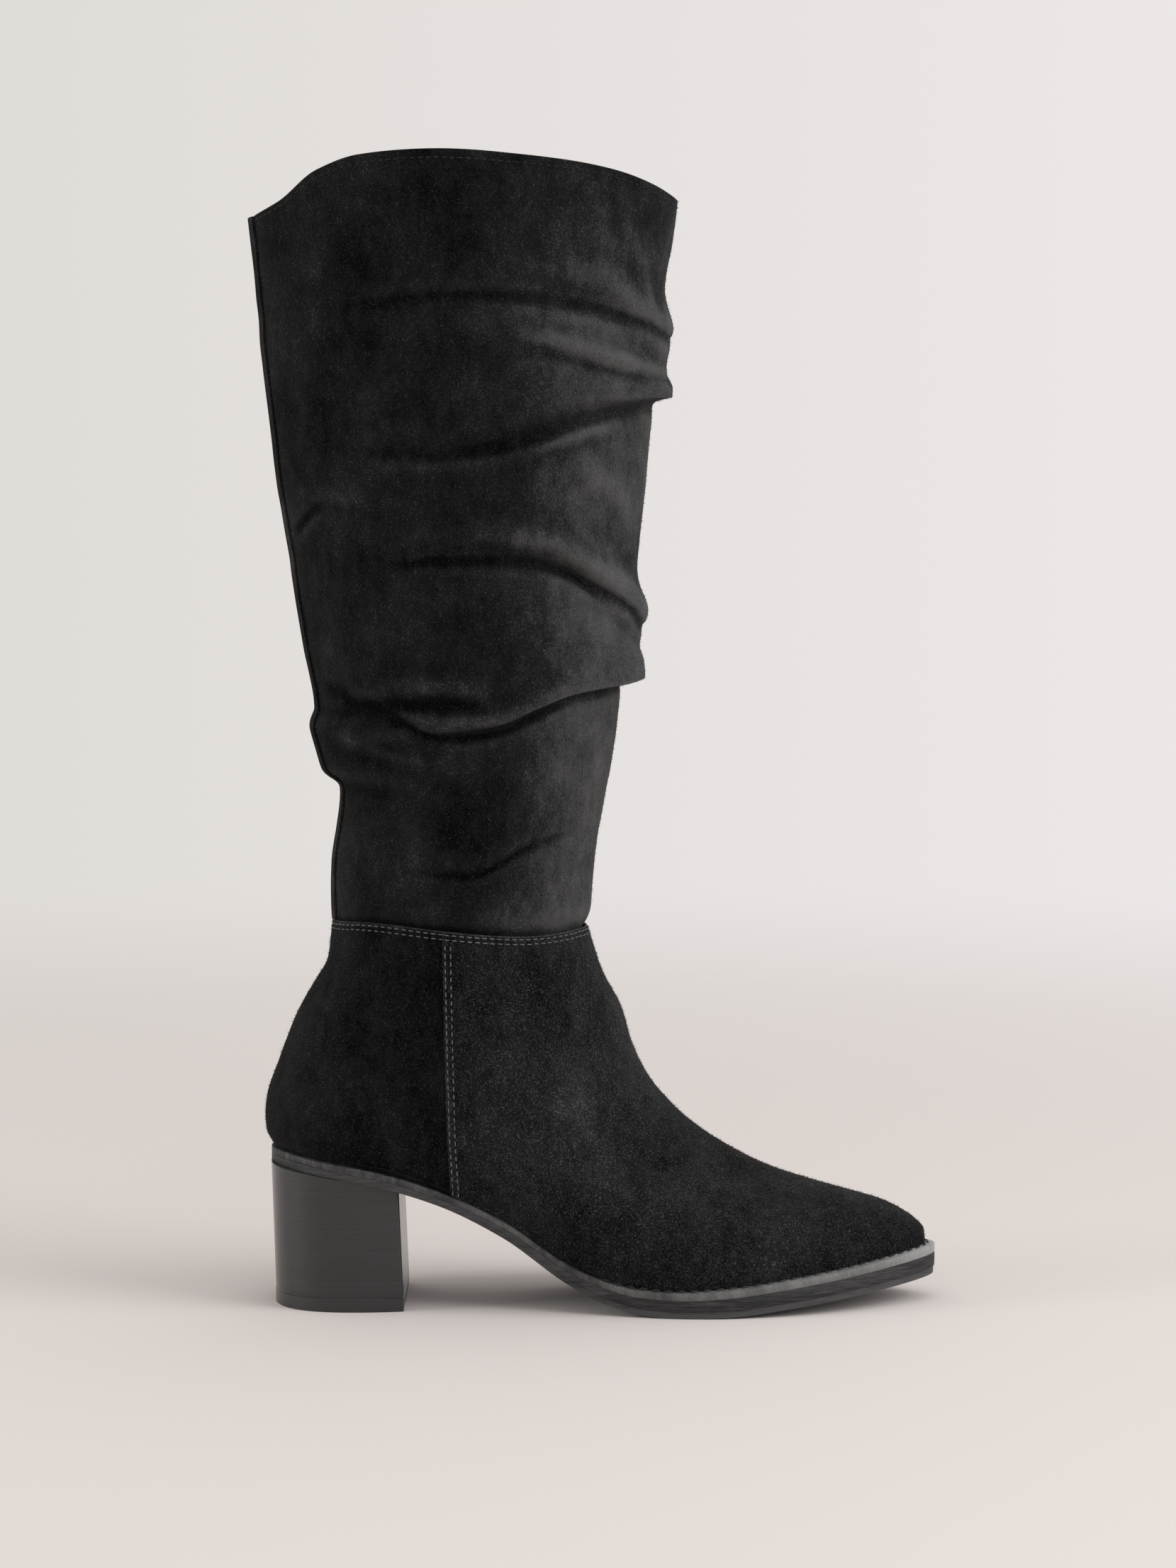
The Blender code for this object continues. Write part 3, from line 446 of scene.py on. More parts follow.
@dataclass
class Last:
    """The forms that the pieces share: the sole's plan and levels and the foot's surface."""

    length: float = 257.2
    ball_width: float = 88.0
    heel_height: float = 54.6
    toe_spring: float = 9.6
    outsole: float = 8.0
    welt: float = 3.2
    ledge: float = 3.2
    ankle_rise: float = 88.0
    ankle_width: float = 69.6
    side_seam: float = 70.1
    side_seam_slant: float = 2.9
    clearance: float = 0.3
    waist_at: float = 0.4
    ball_at: float = 0.8

    def tread(self, at: Array) -> Array:
        """Height of the sole's underside at a share of its length."""
        spring = self.toe_spring * column(SOLE, "spring", at)
        return self.heel_height * column(SOLE, "arch", at) + spring

    def welt_bottom(self, at: Array) -> Array:
        """Height of the welt's underside."""
        return self.tread(at) + self.outsole * column(SOLE, "outsole", at)

    def sole_top(self, at: Array) -> Array:
        """Height of the welt's top, on which the upper stands."""
        return self.welt_bottom(at) + self.welt * column(SOLE, "welt", at)

    def half(self, at: Array, inset: Array = 0.0) -> Array:
        """Half width of the sole: its fullness less the inset, times a circle's rounding.

        Args:
            at: shares of the sole's length.
            inset: how far inside the outline.

        Returns:
            Half widths in millimetres.
        """
        at = np.clip(at, 0.0, 1.0)
        rounding = 2 * np.sqrt(at * (1 - at))
        return np.maximum(self.ball_width * column(SOLE, "fullness", at) - inset, 0.0) * rounding

    def middle(self, at: Array) -> Array:
        """The sole's middle line, which swings to the inner side."""
        return self.ball_width * column(SOLE, "swing", at)

    def seat(self) -> float:
        """Height of the heel seat."""
        return float(self.sole_top(0.0))

    def seam_height(self, station: Array) -> Array:
        """Height of the ankle seam."""
        return self.seat() + self.ankle_rise * smooth(SEAM_STATIONS, SEAM_LIFT, station)

    def seam_station(self, up: Array) -> Array:
        """Station of the side seam: its place less the line's back end, over the line's length.

        Args:
            up: shares up the foot.

        Returns:
            One station a share.
        """
        back = self.length * column(FOOT, "back_at", up)
        front = self.length * column(FOOT, "front_at", up)
        return (self.side_seam - self.side_seam_slant * up - back) / (front - back)

    def foot(self, up: Array, station: Array, side: Array) -> Array:
        """Points of the foot's outer surface.

        A line runs from its back end to its front end, wide as the feather line times the
        girths of its row, and turns to the ankle's oval. Its height keeps some of the arch.

        Args:
            up: share up the foot, 0 at the feather line and 1 at the ankle seam.
            station: station along the line.
            side: -1 on the outer side, 1 on the inner side.

        Returns:
            Points in millimetres, of the shape of the three arguments together.
        """
        up, station, side = np.broadcast_arrays(up, station, side)
        back_x = self.length * column(FOOT, "back_at", up)
        front_x = self.length * column(FOOT, "front_at", up)
        back_z = self.seat() + self.ankle_rise * column(FOOT, "back_lift", up)
        front_z = self.seat() + self.ankle_rise * column(FOOT, "front_lift", up)
        past_waist = (station - self.waist_at) / (self.ball_at - self.waist_at)
        past_ball = (station - self.ball_at) / (1 - self.ball_at)
        girth = column(FOOT, "heel", up) * np.clip(1 - station / self.waist_at, 0, 1)
        girth = girth + column(FOOT, "waist", up) * np.clip(1 - abs(past_waist), 0, 1)
        girth = girth * (1 - np.clip(past_ball, 0, 1))
        girth = girth + column(FOOT, "ball", up) * np.clip(past_waist, 0, 1)
        oval = column(FOOT, "oval", up)
        ankle = self.ankle_width * np.sqrt(np.clip(station * (1 - station), 0, None))
        feather = self.half(station, self.ledge * column(SOLE, "ledge", station))
        half = (1 - oval) * girth * feather + oval * ankle
        y = (1 - oval) * self.middle(station) + side * half
        feather_at = FOOT[0].back_at + (FOOT[0].front_at - FOOT[0].back_at) * station
        first_back = self.sole_top(FOOT[0].back_at)
        first_front = self.sole_top(FOOT[0].front_at)
        sag = self.sole_top(feather_at) - (first_back + (first_front - first_back) * station)
        last_back = self.seat() + self.ankle_rise * FOOT[-1].back_lift
        last_front = self.seat() + self.ankle_rise * FOOT[-1].front_lift
        wave = self.seam_height(station) - (last_back + (last_front - last_back) * station)
        z = back_z + (front_z - back_z) * station + column(FOOT, "sag", up) * sag + up**4 * wave
        settled = np.clip(1 - up / FOOT[1].up, 0, 1)
        z = z + settled * (self.sole_top(feather_at) + self.clearance - z)
        return np.stack([back_x + (front_x - back_x) * station, y, z], axis=-1)

    def place(self) -> Array:
        """Move from the shoe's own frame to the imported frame: the outsole's box less its own.

        Returns:
            The move in millimetres.
        """
        low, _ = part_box("outsole")
        at = np.linspace(0, 1, 2001)
        own = (self.middle(at) - self.half(at)).min()
        return np.array([low.x / MM, low.y / MM - own, 0.0])


def node(tree: bpy.types.NodeTree, kind: str, inputs: dict[str | int, object]) -> bpy.types.Node:
    """Adds a shader node.

    Args:
        tree: tree that it is added to.
        kind: its kind, without the "ShaderNode" that begins it.
        inputs: a value or another node's output for each of its inputs.

    Returns:
        The node.
    """
    made = tree.nodes.new("ShaderNode" + kind)
    for name, value in inputs.items():
        if isinstance(value, bpy.types.NodeSocket):
            tree.links.new(value, made.inputs[name])
        else:
            made.inputs[name].default_value = value
    return made


def combined(tree: bpy.types.NodeTree, operation: str, first: object,
             second: object) -> bpy.types.NodeSocket:
    """Joins two values by arithmetic in a shader.

    Args:
        tree: node tree to add to.
        operation: what is done, as the Math node names it.
        first: an output or a number.
        second: another one.

    Returns:
        The output that holds the result.
    """
    made = node(tree, "Math", {0: first, 1: second})
    made.operation = operation
    return made.outputs[0]


@dataclass(frozen=True)
class Finish:
    """A finish with mottled colour and a fine grain, read in object coordinates.

    The colour runs from dark to light over the "spread" of a sum of three sizes of noise,
    "patch", "stroke" and "grain", shared out by the weights. Specks reach on towards the
    bright colour. A piece's own "relief" attribute paints shade into its troughs and light
    onto its ridges and faces that look up, and lightens its raw edges. The grain also
    drives the bump.
    """

    name: str
    dark: Colour
    light: Colour
    roughness: float
    patch: float = 34.0
    stroke: float = 230.0
    grain: float = 1500.0
    stretch: tuple[float, float, float] = (1.0, 1.0, 0.6)
    weights: tuple[float, float, float] = (0.5, 0.3, 0.2)
    bump: float = 0.5
    depth: float = 0.0004
    sheen: float = 0.0
    sheen_roughness: float = 0.45
    specular: float = 0.3
    coat: float = 0.0
    coat_roughness: float = 0.3
    relief: float = 0.0
    spread: tuple[float, float] = (0.38, 0.66)
    speck: float = 0.0
    speck_scale: float = 2600.0
    bright: Colour = (0.07, 0.07, 0.07)

    def material(self) -> bpy.types.Material:
        """The finish as a node material, made once.

        The ramp reads the weighted sum of the noises, plus the specks and the relief.

        Returns:
            The material.
        """
        found = bpy.data.materials.get(self.name)
        if found:
            return found
        made = bpy.data.materials.new(self.name)
        made.use_nodes = True
        tree = made.node_tree
        shader = tree.nodes["Principled BSDF"]
        for socket, value in (
            ("Roughness", self.roughness),
            ("Sheen Weight", self.sheen),
            ("Sheen Roughness", self.sheen_roughness),
            ("Specular IOR Level", self.specular),
            ("Coat Weight", self.coat),
            ("Coat Roughness", self.coat_roughness),
        ):
            shader.inputs[socket].default_value = value
        where = tree.nodes.new("ShaderNodeTexCoord").outputs["Object"]
        turned = node(tree, "Mapping", {"Vector": where, "Scale": self.stretch})
        total = None
        fine = None
        for scale, weight in zip((self.patch, self.stroke, self.grain), self.weights):
            read = {"Vector": turned.outputs["Vector"], "Scale": scale, "Detail": 3.0, "Roughness": 0.6}
            fine = node(tree, "TexNoise", read).outputs["Fac"]
            share = combined(tree, "MULTIPLY", fine, weight)
            total = share if total is None else combined(tree, "ADD", total, share)
        for stretched in SPECK_STRETCHES if self.speck else ():
            laid = node(tree, "Mapping", {"Vector": where, "Scale": stretched, "Rotation": SPECK_TURN})
            read = {"Vector": laid.outputs["Vector"], "Scale": self.speck_scale, "Detail": 1.0}
            value = node(tree, "TexNoise", read).outputs["Fac"]
            low, high = SPECK_RANGE
            limits = {"Value": value, "From Min": low, "From Max": high, "To Max": self.speck}
            total = combined(tree, "ADD", total, node(tree, "MapRange", limits).outputs["Result"])
        if self.relief:
            # The relief attribute holds painted shade and painted light, besides paler raw edges and
            # bands
            wear_and_shade = node(tree, "Attribute", {})
            wear_and_shade.attribute_name = "relief"
            share = combined(tree, "MULTIPLY", wear_and_shade.outputs["Fac"], self.relief)
            total = combined(tree, "ADD", total, share)
        ramp = tree.nodes.new("ShaderNodeValToRGB")
        ramp.color_ramp.elements[0].position = self.spread[0]
        ramp.color_ramp.elements[0].color = (*self.dark, 1.0)
        ramp.color_ramp.elements[1].position = self.spread[1]
        ramp.color_ramp.elements[1].color = (*self.light, 1.0)
        if self.speck:
            ramp.color_ramp.elements.new(1.0).color = (*self.bright, 1.0)
        tree.links.new(total, ramp.inputs["Fac"])
        tree.links.new(ramp.outputs["Color"], shader.inputs["Base Color"])
        raised = node(tree, "Bump", {"Strength": self.bump, "Distance": self.depth, "Height": fine})
        tree.links.new(raised.outputs["Normal"], shader.inputs["Normal"])
        return made


SUEDE = Finish("black_suede", (0.0010, 0.0010, 0.0011), (0.0125, 0.0125, 0.0127), 0.95, patch=42.0,
               bump=0.9, depth=0.0009, sheen=0.035, specular=0.03, relief=0.15, speck=0.19,
               speck_scale=2900.0)
VAMP = Finish("brushed_suede", (0.0013, 0.0013, 0.0014), (0.0165, 0.0165, 0.0167), 0.95, patch=42.0,
              bump=0.9, depth=0.0009, sheen=0.04, specular=0.03, relief=0.15, speck=0.33,
              speck_scale=2500.0)
NAP = Finish("nap_fibres", (0.012, 0.012, 0.012), (0.07, 0.07, 0.07), 0.8, sheen=0.1, specular=0.1,
             stroke=900.0, weights=(0.2, 0.5, 0.3), bump=0.0)
LINING = Finish("lining", (0.012, 0.011, 0.0105), (0.022, 0.02, 0.019), 0.7)
THREAD = Finish("grey_thread", (0.06, 0.06, 0.06), (0.16, 0.16, 0.158), 0.7, stroke=60.0, grain=4000.0)
DARK_THREAD = Finish("black_thread", (0.002, 0.002, 0.002), (0.014, 0.014, 0.014), 0.6, grain=4000.0)
RUBBER = Finish("outsole_rubber", (0.007, 0.007, 0.0073), (0.05, 0.05, 0.0503), 0.6, stroke=500.0,
                grain=1100.0, stretch=(0.2, 0.2, 3.0), weights=(0.3, 0.4, 0.3), relief=0.12,
                spread=(0.4, 0.62))
WELTING = Finish("welt_strip", (0.02, 0.02, 0.0205), (0.26, 0.26, 0.257), 0.5, grain=900.0, bump=0.2,
                 spread=(0.2, 0.8), relief=0.3)
HEEL = Finish("heel_lacquer", (0.0022, 0.0026, 0.003), (0.0092, 0.0102, 0.011), 0.42,
              stretch=(0.04, 0.04, 3.0), weights=(0.3, 0.5, 0.2), bump=0.3, depth=0.0002,
              specular=0.45, coat=0.55, coat_roughness=0.1)
LIFT = Finish("top_lift", (0.003, 0.0033, 0.0037), (0.011, 0.0118, 0.0127), 0.42,
              stretch=(0.04, 0.04, 7.0), bump=0.15, depth=0.0001, specular=0.45, coat=0.5,
              coat_roughness=0.15)
INSOLE = Finish("insole_leather", (0.16, 0.14, 0.12), (0.24, 0.215, 0.19), 0.6)


@dataclass
class Maker:
    """Turns grids of points into meshes that ride on the boot."""

    shift: Array

    def mesh(self, name: str, points: Array, faces: Array, finish: Finish, slot: str,
             stands_for: tuple[str, ...] = (), relief: Array | None = None,
             sharp: float = 40.0) -> bpy.types.Object:
        """One piece from points and quads.

        Args:
            name: name of the piece.
            points: points in millimetres in the shoe's own frame.
            faces: four point numbers a face.
            finish: its finish.
            slot: material slot; not used.
            stands_for: CAD nodes that the piece replaces.
            relief: how far each point is darkened, where it is below nought, as by painted
            shade in a trough, or lightened, where it is above, as by painted light on a
            ridge or by a raw edge's own paleness.
            sharp: angle in degrees past which an edge is sharp.

        Returns:
            The object, riding on the root.
        """
        points = (np.asarray(points, float).reshape(-1, 3) + self.shift) * MM
        faces = self._outward(points, np.asarray(faces, np.int32))
        mesh = bpy.data.meshes.new(name)
        mesh.vertices.add(len(points))
        mesh.vertices.foreach_set("co", points.astype(np.float32).ravel())
        mesh.loops.add(faces.size)
        mesh.loops.foreach_set("vertex_index", faces.ravel())
        mesh.polygons.add(len(faces))
        starts = np.arange(0, faces.size, faces.shape[1], dtype=np.int32)
        mesh.polygons.foreach_set("loop_start", starts)
        mesh.update(calc_edges=True)
        mesh.validate()
        mesh.shade_smooth()
        mesh.set_sharp_from_angle(angle=np.radians(sharp))
        if relief is not None:
            layer = mesh.attributes.new("relief", "FLOAT", "POINT")
            layer.data.foreach_set("value", np.asarray(relief, np.float32).ravel())
        mesh.materials.append(finish.material())
        made = bpy.data.objects.new(name, mesh)
        bpy.context.scene.collection.objects.link(made)
        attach(made, "root")
        if stands_for:
            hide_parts(*stands_for)
        LOG.info("%s: %d points, %d faces", name, len(points), len(faces))
        return made

    @staticmethod
    def _outward(points: Array, faces: Array) -> Array:
        """Turns the faces round where they enclose a negative volume.

        The volume is the sum of the triple products of the faces' corners.

        Args:
            points: points of the mesh.
            faces: three or four point numbers a face.

        Returns:
            The faces, as they were or turned round.
        """
        a, b, c = (points[faces[:, i]] for i in (0, 1, 2))
        volume = np.einsum("ij,ij->i", a, np.cross(b, c)).sum()
        if faces.shape[1] == 4:
            d = points[faces[:, 3]]
            volume += np.einsum("ij,ij->i", a, np.cross(c, d)).sum()
        return faces[:, ::-1].copy() if volume < 0 else faces


def quads(rows: int, columns: int, wrap: bool, first: int = 0) -> Array:
    """Faces of a grid of points numbered row by row.

    Args:
        rows: rows of points.
        columns: points a row.
        wrap: whether a row is a closed loop.
        first: number of the grid's first point.

    Returns:
        Four point numbers a face.
    """
    row = np.arange(rows - 1)[:, None] * columns
    here = np.arange(columns if wrap else columns - 1)[None, :]
    there = (here + 1) % columns
    corners = (row + here, row + there, row + columns + there, row + columns + here)
    corners = [np.broadcast_to(corner, (rows - 1, here.shape[1])) for corner in corners]
    return np.stack(corners, -1).reshape(-1, 4) + first


def wall(outer: Array, inner: Array, wrap: bool) -> tuple[Array, Array]:
    """A closed wall between two grids, with rims along their open edges.

    Args:
        outer: outer grid of points.
        inner: inner grid, of the same shape.
        wrap: whether a row is a closed loop.

    Returns:
        Points and faces.
    """
    rows, columns = outer.shape[:2]
    count = rows * columns
    faces = [quads(rows, columns, wrap), quads(rows, columns, wrap, count)[:, ::-1]]
    here = np.arange(columns if wrap else columns - 1)
    there = (here + 1) % columns
    top = (rows - 1) * columns
    faces.append(np.stack([top + here, top + there, count + top + there, count + top + here], -1))
    faces.append(np.stack([here, count + here, count + there, there], -1))
    if not wrap:
        low = np.arange(rows - 1) * columns
        high = low + columns
        faces.append(np.stack([low, high, count + high, count + low], -1))
        low, high = low + columns - 1, high + columns - 1
        faces.append(np.stack([low, count + low, count + high, high], -1))
    points = np.concatenate([outer.reshape(-1, 3), inner.reshape(-1, 3)])
    return points, np.concatenate(faces)


def tube(rings: Array) -> tuple[Array, Array]:
    """A wall closed both ways from rings that run up outside and down inside.

    Args:
        rings: closed rings; the last one joins the first.

    Returns:
        Points and faces.
    """
    rows, columns = rings.shape[:2]
    faces = quads(rows + 1, columns, True) % (rows * columns)
    return rings.reshape(-1, 3), faces


def plate(rings: Array) -> tuple[Array, Array]:
    """A closed solid from rings stacked up, its first and last closed by strips across.

    Args:
        rings: rings of points, each running out along one side and back along the other,
            so that a point and the one as far from the end face each other.

    Returns:
        Points and faces.
    """
    rows, columns = rings.shape[:2]
    faces = [quads(rows, columns, True)]
    i = np.arange(1, columns // 2 - 1)
    for first, turn in ((0, -1), ((rows - 1) * columns, 1)):
        far = columns - i
        cap = np.stack([first + i, first + i + 1, first + far - 1, first + far], -1)
        tips = [[first, first + 1, first + columns - 1, first + columns - 1]]
        faces.append(cap[:, ::turn])
        faces.append(np.array(tips)[:, ::turn])
    return rings.reshape(-1, 3), np.concatenate(faces)


def stitches(path: Array, away: Array, pitch: float, length: float, radius: float,
             closed: bool = False, slant: float = 0.0) -> tuple[Array, Array]:
    """Stitches along a line, each a short rounded bar whose ends dip into the leather.

    A point of a bar is its middle plus its half length times s along the line, plus a
    circle whose radius is the stitch's times the root of one less s to the fourth.

    Args:
        path: points of the line.
        away: unit normals of the surface at those points.
        pitch: distance between stitches.
        length: length of a stitch.
        radius: half its thickness.
        closed: whether the line closes on itself.
        slant: turn of each stitch across the line, in radians.

    Returns:
        Points and faces.
    """
    if closed:
        path = np.concatenate([path, path[:1]])
        away = np.concatenate([away, away[:1]])
    run = arc(path)
    count = max(2, int(run[-1] / pitch))
    at = (np.arange(count) + 0.5) * run[-1] / count
    middle = np.stack([np.interp(at, run, path[:, i]) for i in range(3)], -1)
    up = unit(np.stack([np.interp(at, run, away[:, i]) for i in range(3)], -1))
    ahead = np.stack([np.interp(at + STITCH_STEP, run, path[:, i]) for i in range(3)], -1)
    back = np.stack([np.interp(at - STITCH_STEP, run, path[:, i]) for i in range(3)], -1)
    along = unit(ahead - back)
    across = unit(np.cross(up, along))
    along = unit(np.cos(slant) * along + np.sin(slant) * across)
    across = unit(np.cross(up, along))
    s = np.linspace(-1, 1, STITCH_RINGS)[None, :, None, None]
    turn = (np.arange(STITCH_SIDES) * 2 * np.pi / STITCH_SIDES)[None, None, :, None]
    thick = radius * np.sqrt(np.clip(1.02 - s**4, 0.02, None))
    points = (
        middle[:, None, None]
        + along[:, None, None] * s * length / 2
        + up[:, None, None] * (radius * STITCH_DIP * (0.5 - s**4) + thick * np.sin(turn))
        + across[:, None, None] * thick * np.cos(turn)
    )
    near = np.array([[0, 3, 2, 1], [0, 5, 4, 3]])
    far = np.array([[0, 1, 2, 3], [0, 3, 4, 5]]) + (STITCH_RINGS - 1) * STITCH_SIDES
    one = np.concatenate([quads(STITCH_RINGS, STITCH_SIDES, True), near, far])
    first = np.arange(count) * STITCH_RINGS * STITCH_SIDES
    faces = (one[None] + first[:, None, None]).reshape(-1, 4)
    return points.reshape(-1, 3), faces


@dataclass(frozen=True)
class Fibre:
    """Size and lie of the nap's fibres, in millimetres and as shares of a fibre's direction."""

    width: float = 0.1
    root: float = 0.1
    bend: float = 0.5
    bend_spread: float = 0.5
    skew_spread: float = 0.8
    reach: tuple[float, float] = (0.5, 1.4)
    wear_and_shade: tuple[float, float] = (0.5, 1.0)


def nap(grid: Array, away: Array, wrap: bool, count: int, seed: int,
        fibre: Fibre = Fibre()) -> tuple[Array, Array]:
    """Short fibres standing on a surface, each a slim closed spike.

    A fibre starts at a random place of a random cell, chosen by the cell's area, and runs
    along the normal, bent down the surface and to a random side.

    Args:
        grid: points of the surface.
        away: unit normals there.
        wrap: whether a row is a closed loop.
        count: number of fibres.
        seed: seed of the draws.
        fibre: size and lie of a fibre.

    Returns:
        Points and triangles.
    """
    draw = np.random.default_rng(seed)
    rows, columns = grid.shape[:2]
    cells = quads(rows, columns, wrap)
    flat = grid.reshape(-1, 3)
    lean = away.reshape(-1, 3)
    a, b, c, d = (flat[cells[:, i]] for i in range(4))
    area = np.linalg.norm(np.cross(c - a, d - b), axis=1)
    pick = draw.choice(len(cells), count, p=area / area.sum())
    s = draw.uniform(0, 1, (count, 1))
    t = draw.uniform(0, 1, (count, 1))
    root = (a[pick] * (1 - s) + b[pick] * s) * (1 - t) + (d[pick] * (1 - s) + c[pick] * s) * t
    up = unit(lean[cells[pick, 0]])
    down = unit(a[pick] - d[pick])
    side = unit(b[pick] - a[pick])
    bend = fibre.bend + fibre.bend_spread * draw.normal(0, 1, (count, 1))
    skew = fibre.skew_spread * draw.normal(0, 1, (count, 1))
    way = unit(up + bend * down + skew * side)
    reach = draw.uniform(*fibre.reach, (count, 1)) * draw.uniform(*fibre.wear_and_shade, (count, 1))
    first = unit(np.cross(way, up + 0.3 * side))
    second = np.cross(way, first)
    base = root - fibre.root * up
    corners = [base + fibre.width * first, base - fibre.width * (0.5 * first - 0.87 * second),
               base - fibre.width * (0.5 * first + 0.87 * second), root + reach * way]
    points = np.stack(corners, 1).reshape(-1, 3)
    one = np.array([[0, 1, 3], [1, 2, 3], [2, 0, 3], [0, 2, 1]])
    return points, (one[None] + (np.arange(count) * 4)[:, None, None]).reshape(-1, 3)


def level_normals(along: Array) -> Array:
    """Level unit vectors to the right of a line's steps."""
    return unit(np.stack([along[:, 1], -along[:, 0], np.zeros(len(along))], -1))


def ring_stations(count: int) -> Array:
    """Stations from back to front, spaced as on a circle."""
    return (1 - np.cos(np.linspace(0, np.pi, count + 1))) / 2


def ring(outer: Array, inner: Array) -> Array:
    """A closed ring from an outer and an inner edge that share their ends."""
    return np.concatenate([outer, inner[-2:0:-1]])


@dataclass
class Bottom:
    """Outsole, welt, welt stitches and insole."""

    last: Last
    steps: int = 260
    welt_steps: int = 1300
    band: float = 2.6
    band_step: float = 0.5
    band_from: float = 0.3
    band_full: float = 0.5
    forefoot: float = 0.5
    waist_pale: float = 0.3
    serration: float = 1.1
    serration_depth: float = 0.45
    gap: float = 0.03
    insole: float = 2.0
    insole_reach: float = 3.7
    insole_steps: int = 120
    stitch_pitch: float = 4.8
    stitch_length: float = 4.1
    stitch_radius: float = 0.6
    stitch_slant: float = 0.14
    stitch_out: float = 0.85

    def edge(self, at: Array, height: Array, inset: Array) -> Array:
        """Ring of the sole's outline moved in by inset, at a height.

        Args:
            at: shares of the sole's length.
            height: height at each share.
            inset: how far inside the outline.

        Returns:
            Points of the closed ring.
        """
        x = self.last.length * at + inset * (1 - 2 * at)
        half = self.last.half(at, inset)
        middle = self.last.middle(at)
        outer = np.stack([x, middle - half, height], -1)
        inner = np.stack([x, middle + half, height], -1)
        return ring(outer, inner)

    def build(self, maker: Maker) -> None:
        """Makes the bottom's pieces.

        The outsole's side steps in over the tread band, ahead of the waist. The welt's top
        edge is notched by a cosine of the distance round it.

        Args:
            maker: maker of meshes.
        """
        last = self.last
        at = ring_stations(self.steps)
        low, high = last.tread(at), last.welt_bottom(at) - self.gap
        split = np.minimum(self.band / np.maximum(high - low, 1.0), 0.5)
        step = self.band_step * np.clip((at - self.band_from) / (self.band_full - self.band_from), 0, 1)
        rings = np.stack([
            self.edge(at, low + (high - low) * (row.share + row.band * split),
                      row.inset + row.step * step)
            for row in OUTSOLE_EDGE
        ])
        points, faces = plate(rings)
        banded = np.repeat([row.pale for row in OUTSOLE_EDGE], rings.shape[1])
        wear_and_shade = np.where(points[:, 0] / last.length > self.forefoot, banded, self.waist_pale)
        maker.mesh("outsole_edge", points, faces, RUBBER, "outsole", ("outsole",), wear_and_shade)
        at = ring_stations(self.welt_steps)
        low, high = last.welt_bottom(at), last.sole_top(at)
        rings = np.stack([
            self.edge(at, low + (high - low) * share, inset) for share, inset, _ in WELT_EDGE
        ])
        widest = rings[3]
        run = arc(np.concatenate([widest, widest[:1]]))[:-1]
        notch = 0.5 - 0.5 * np.cos(2 * np.pi * run / self.serration)
        notched = np.array([share for _, _, share in WELT_EDGE])
        rings[..., 2] -= self.serration_depth * notch * notched[:, None]
        points, faces = plate(rings)
        # Light is painted onto the welt, paler towards the toe
        paler = smooth(WELT_STATIONS, WELT_PAINTED_LIGHT, points[:, 0] / last.length)
        maker.mesh("welt_strip", points, faces, WELTING, "welt", ("welt",), paler)
        self._stitches(maker)
        self._insole(maker)

    def _stitches(self, maker: Maker) -> None:
        """Makes the welt's stitches, on the feather line moved out, round the forefoot.

        Args:
            maker: maker of meshes.
        """
        last = self.last
        turn = np.linspace(np.arccos(1 - 2 * self.forefoot), np.pi, 300)
        station = (1 - np.cos(turn)) / 2
        outer = last.foot(0.0, station, -1.0)
        inner = last.foot(0.0, station, 1.0)
        path = np.concatenate([outer, inner[-2::-1]])
        path = path + self.stitch_out * level_normals(np.gradient(path, axis=0))
        path[:, 2] = last.sole_top(path[:, 0] / last.length)
        away = np.tile([0.0, 0.0, 1.0], (len(path), 1))
        points, faces = stitches(path, away, self.stitch_pitch, self.stitch_length, self.stitch_radius,
                                 slant=self.stitch_slant)
        maker.mesh("welt_stitches", points, faces, DARK_THREAD, "welt")

    def _insole(self, maker: Maker) -> None:
        """Makes the insole: the feather line moved in, at heights over the welt's top.

        Args:
            maker: maker of meshes.
        """
        last = self.last
        station = ring_stations(self.insole_steps)
        line = ring(last.foot(0.0, station, -1.0), last.foot(0.0, station, 1.0))
        out = level_normals(np.roll(line, -1, axis=0) - np.roll(line, 1, axis=0))
        rings = []
        for share, inset in INSOLE_EDGE:
            one = line - (self.insole_reach + inset) * out
            one[:, 2] = last.sole_top(one[:, 0] / last.length) + last.clearance + self.insole * share
            rings.append(one)
        points, faces = plate(np.stack(rings))
        maker.mesh("insole_board", points, faces, INSOLE, "insole", ("insole",))


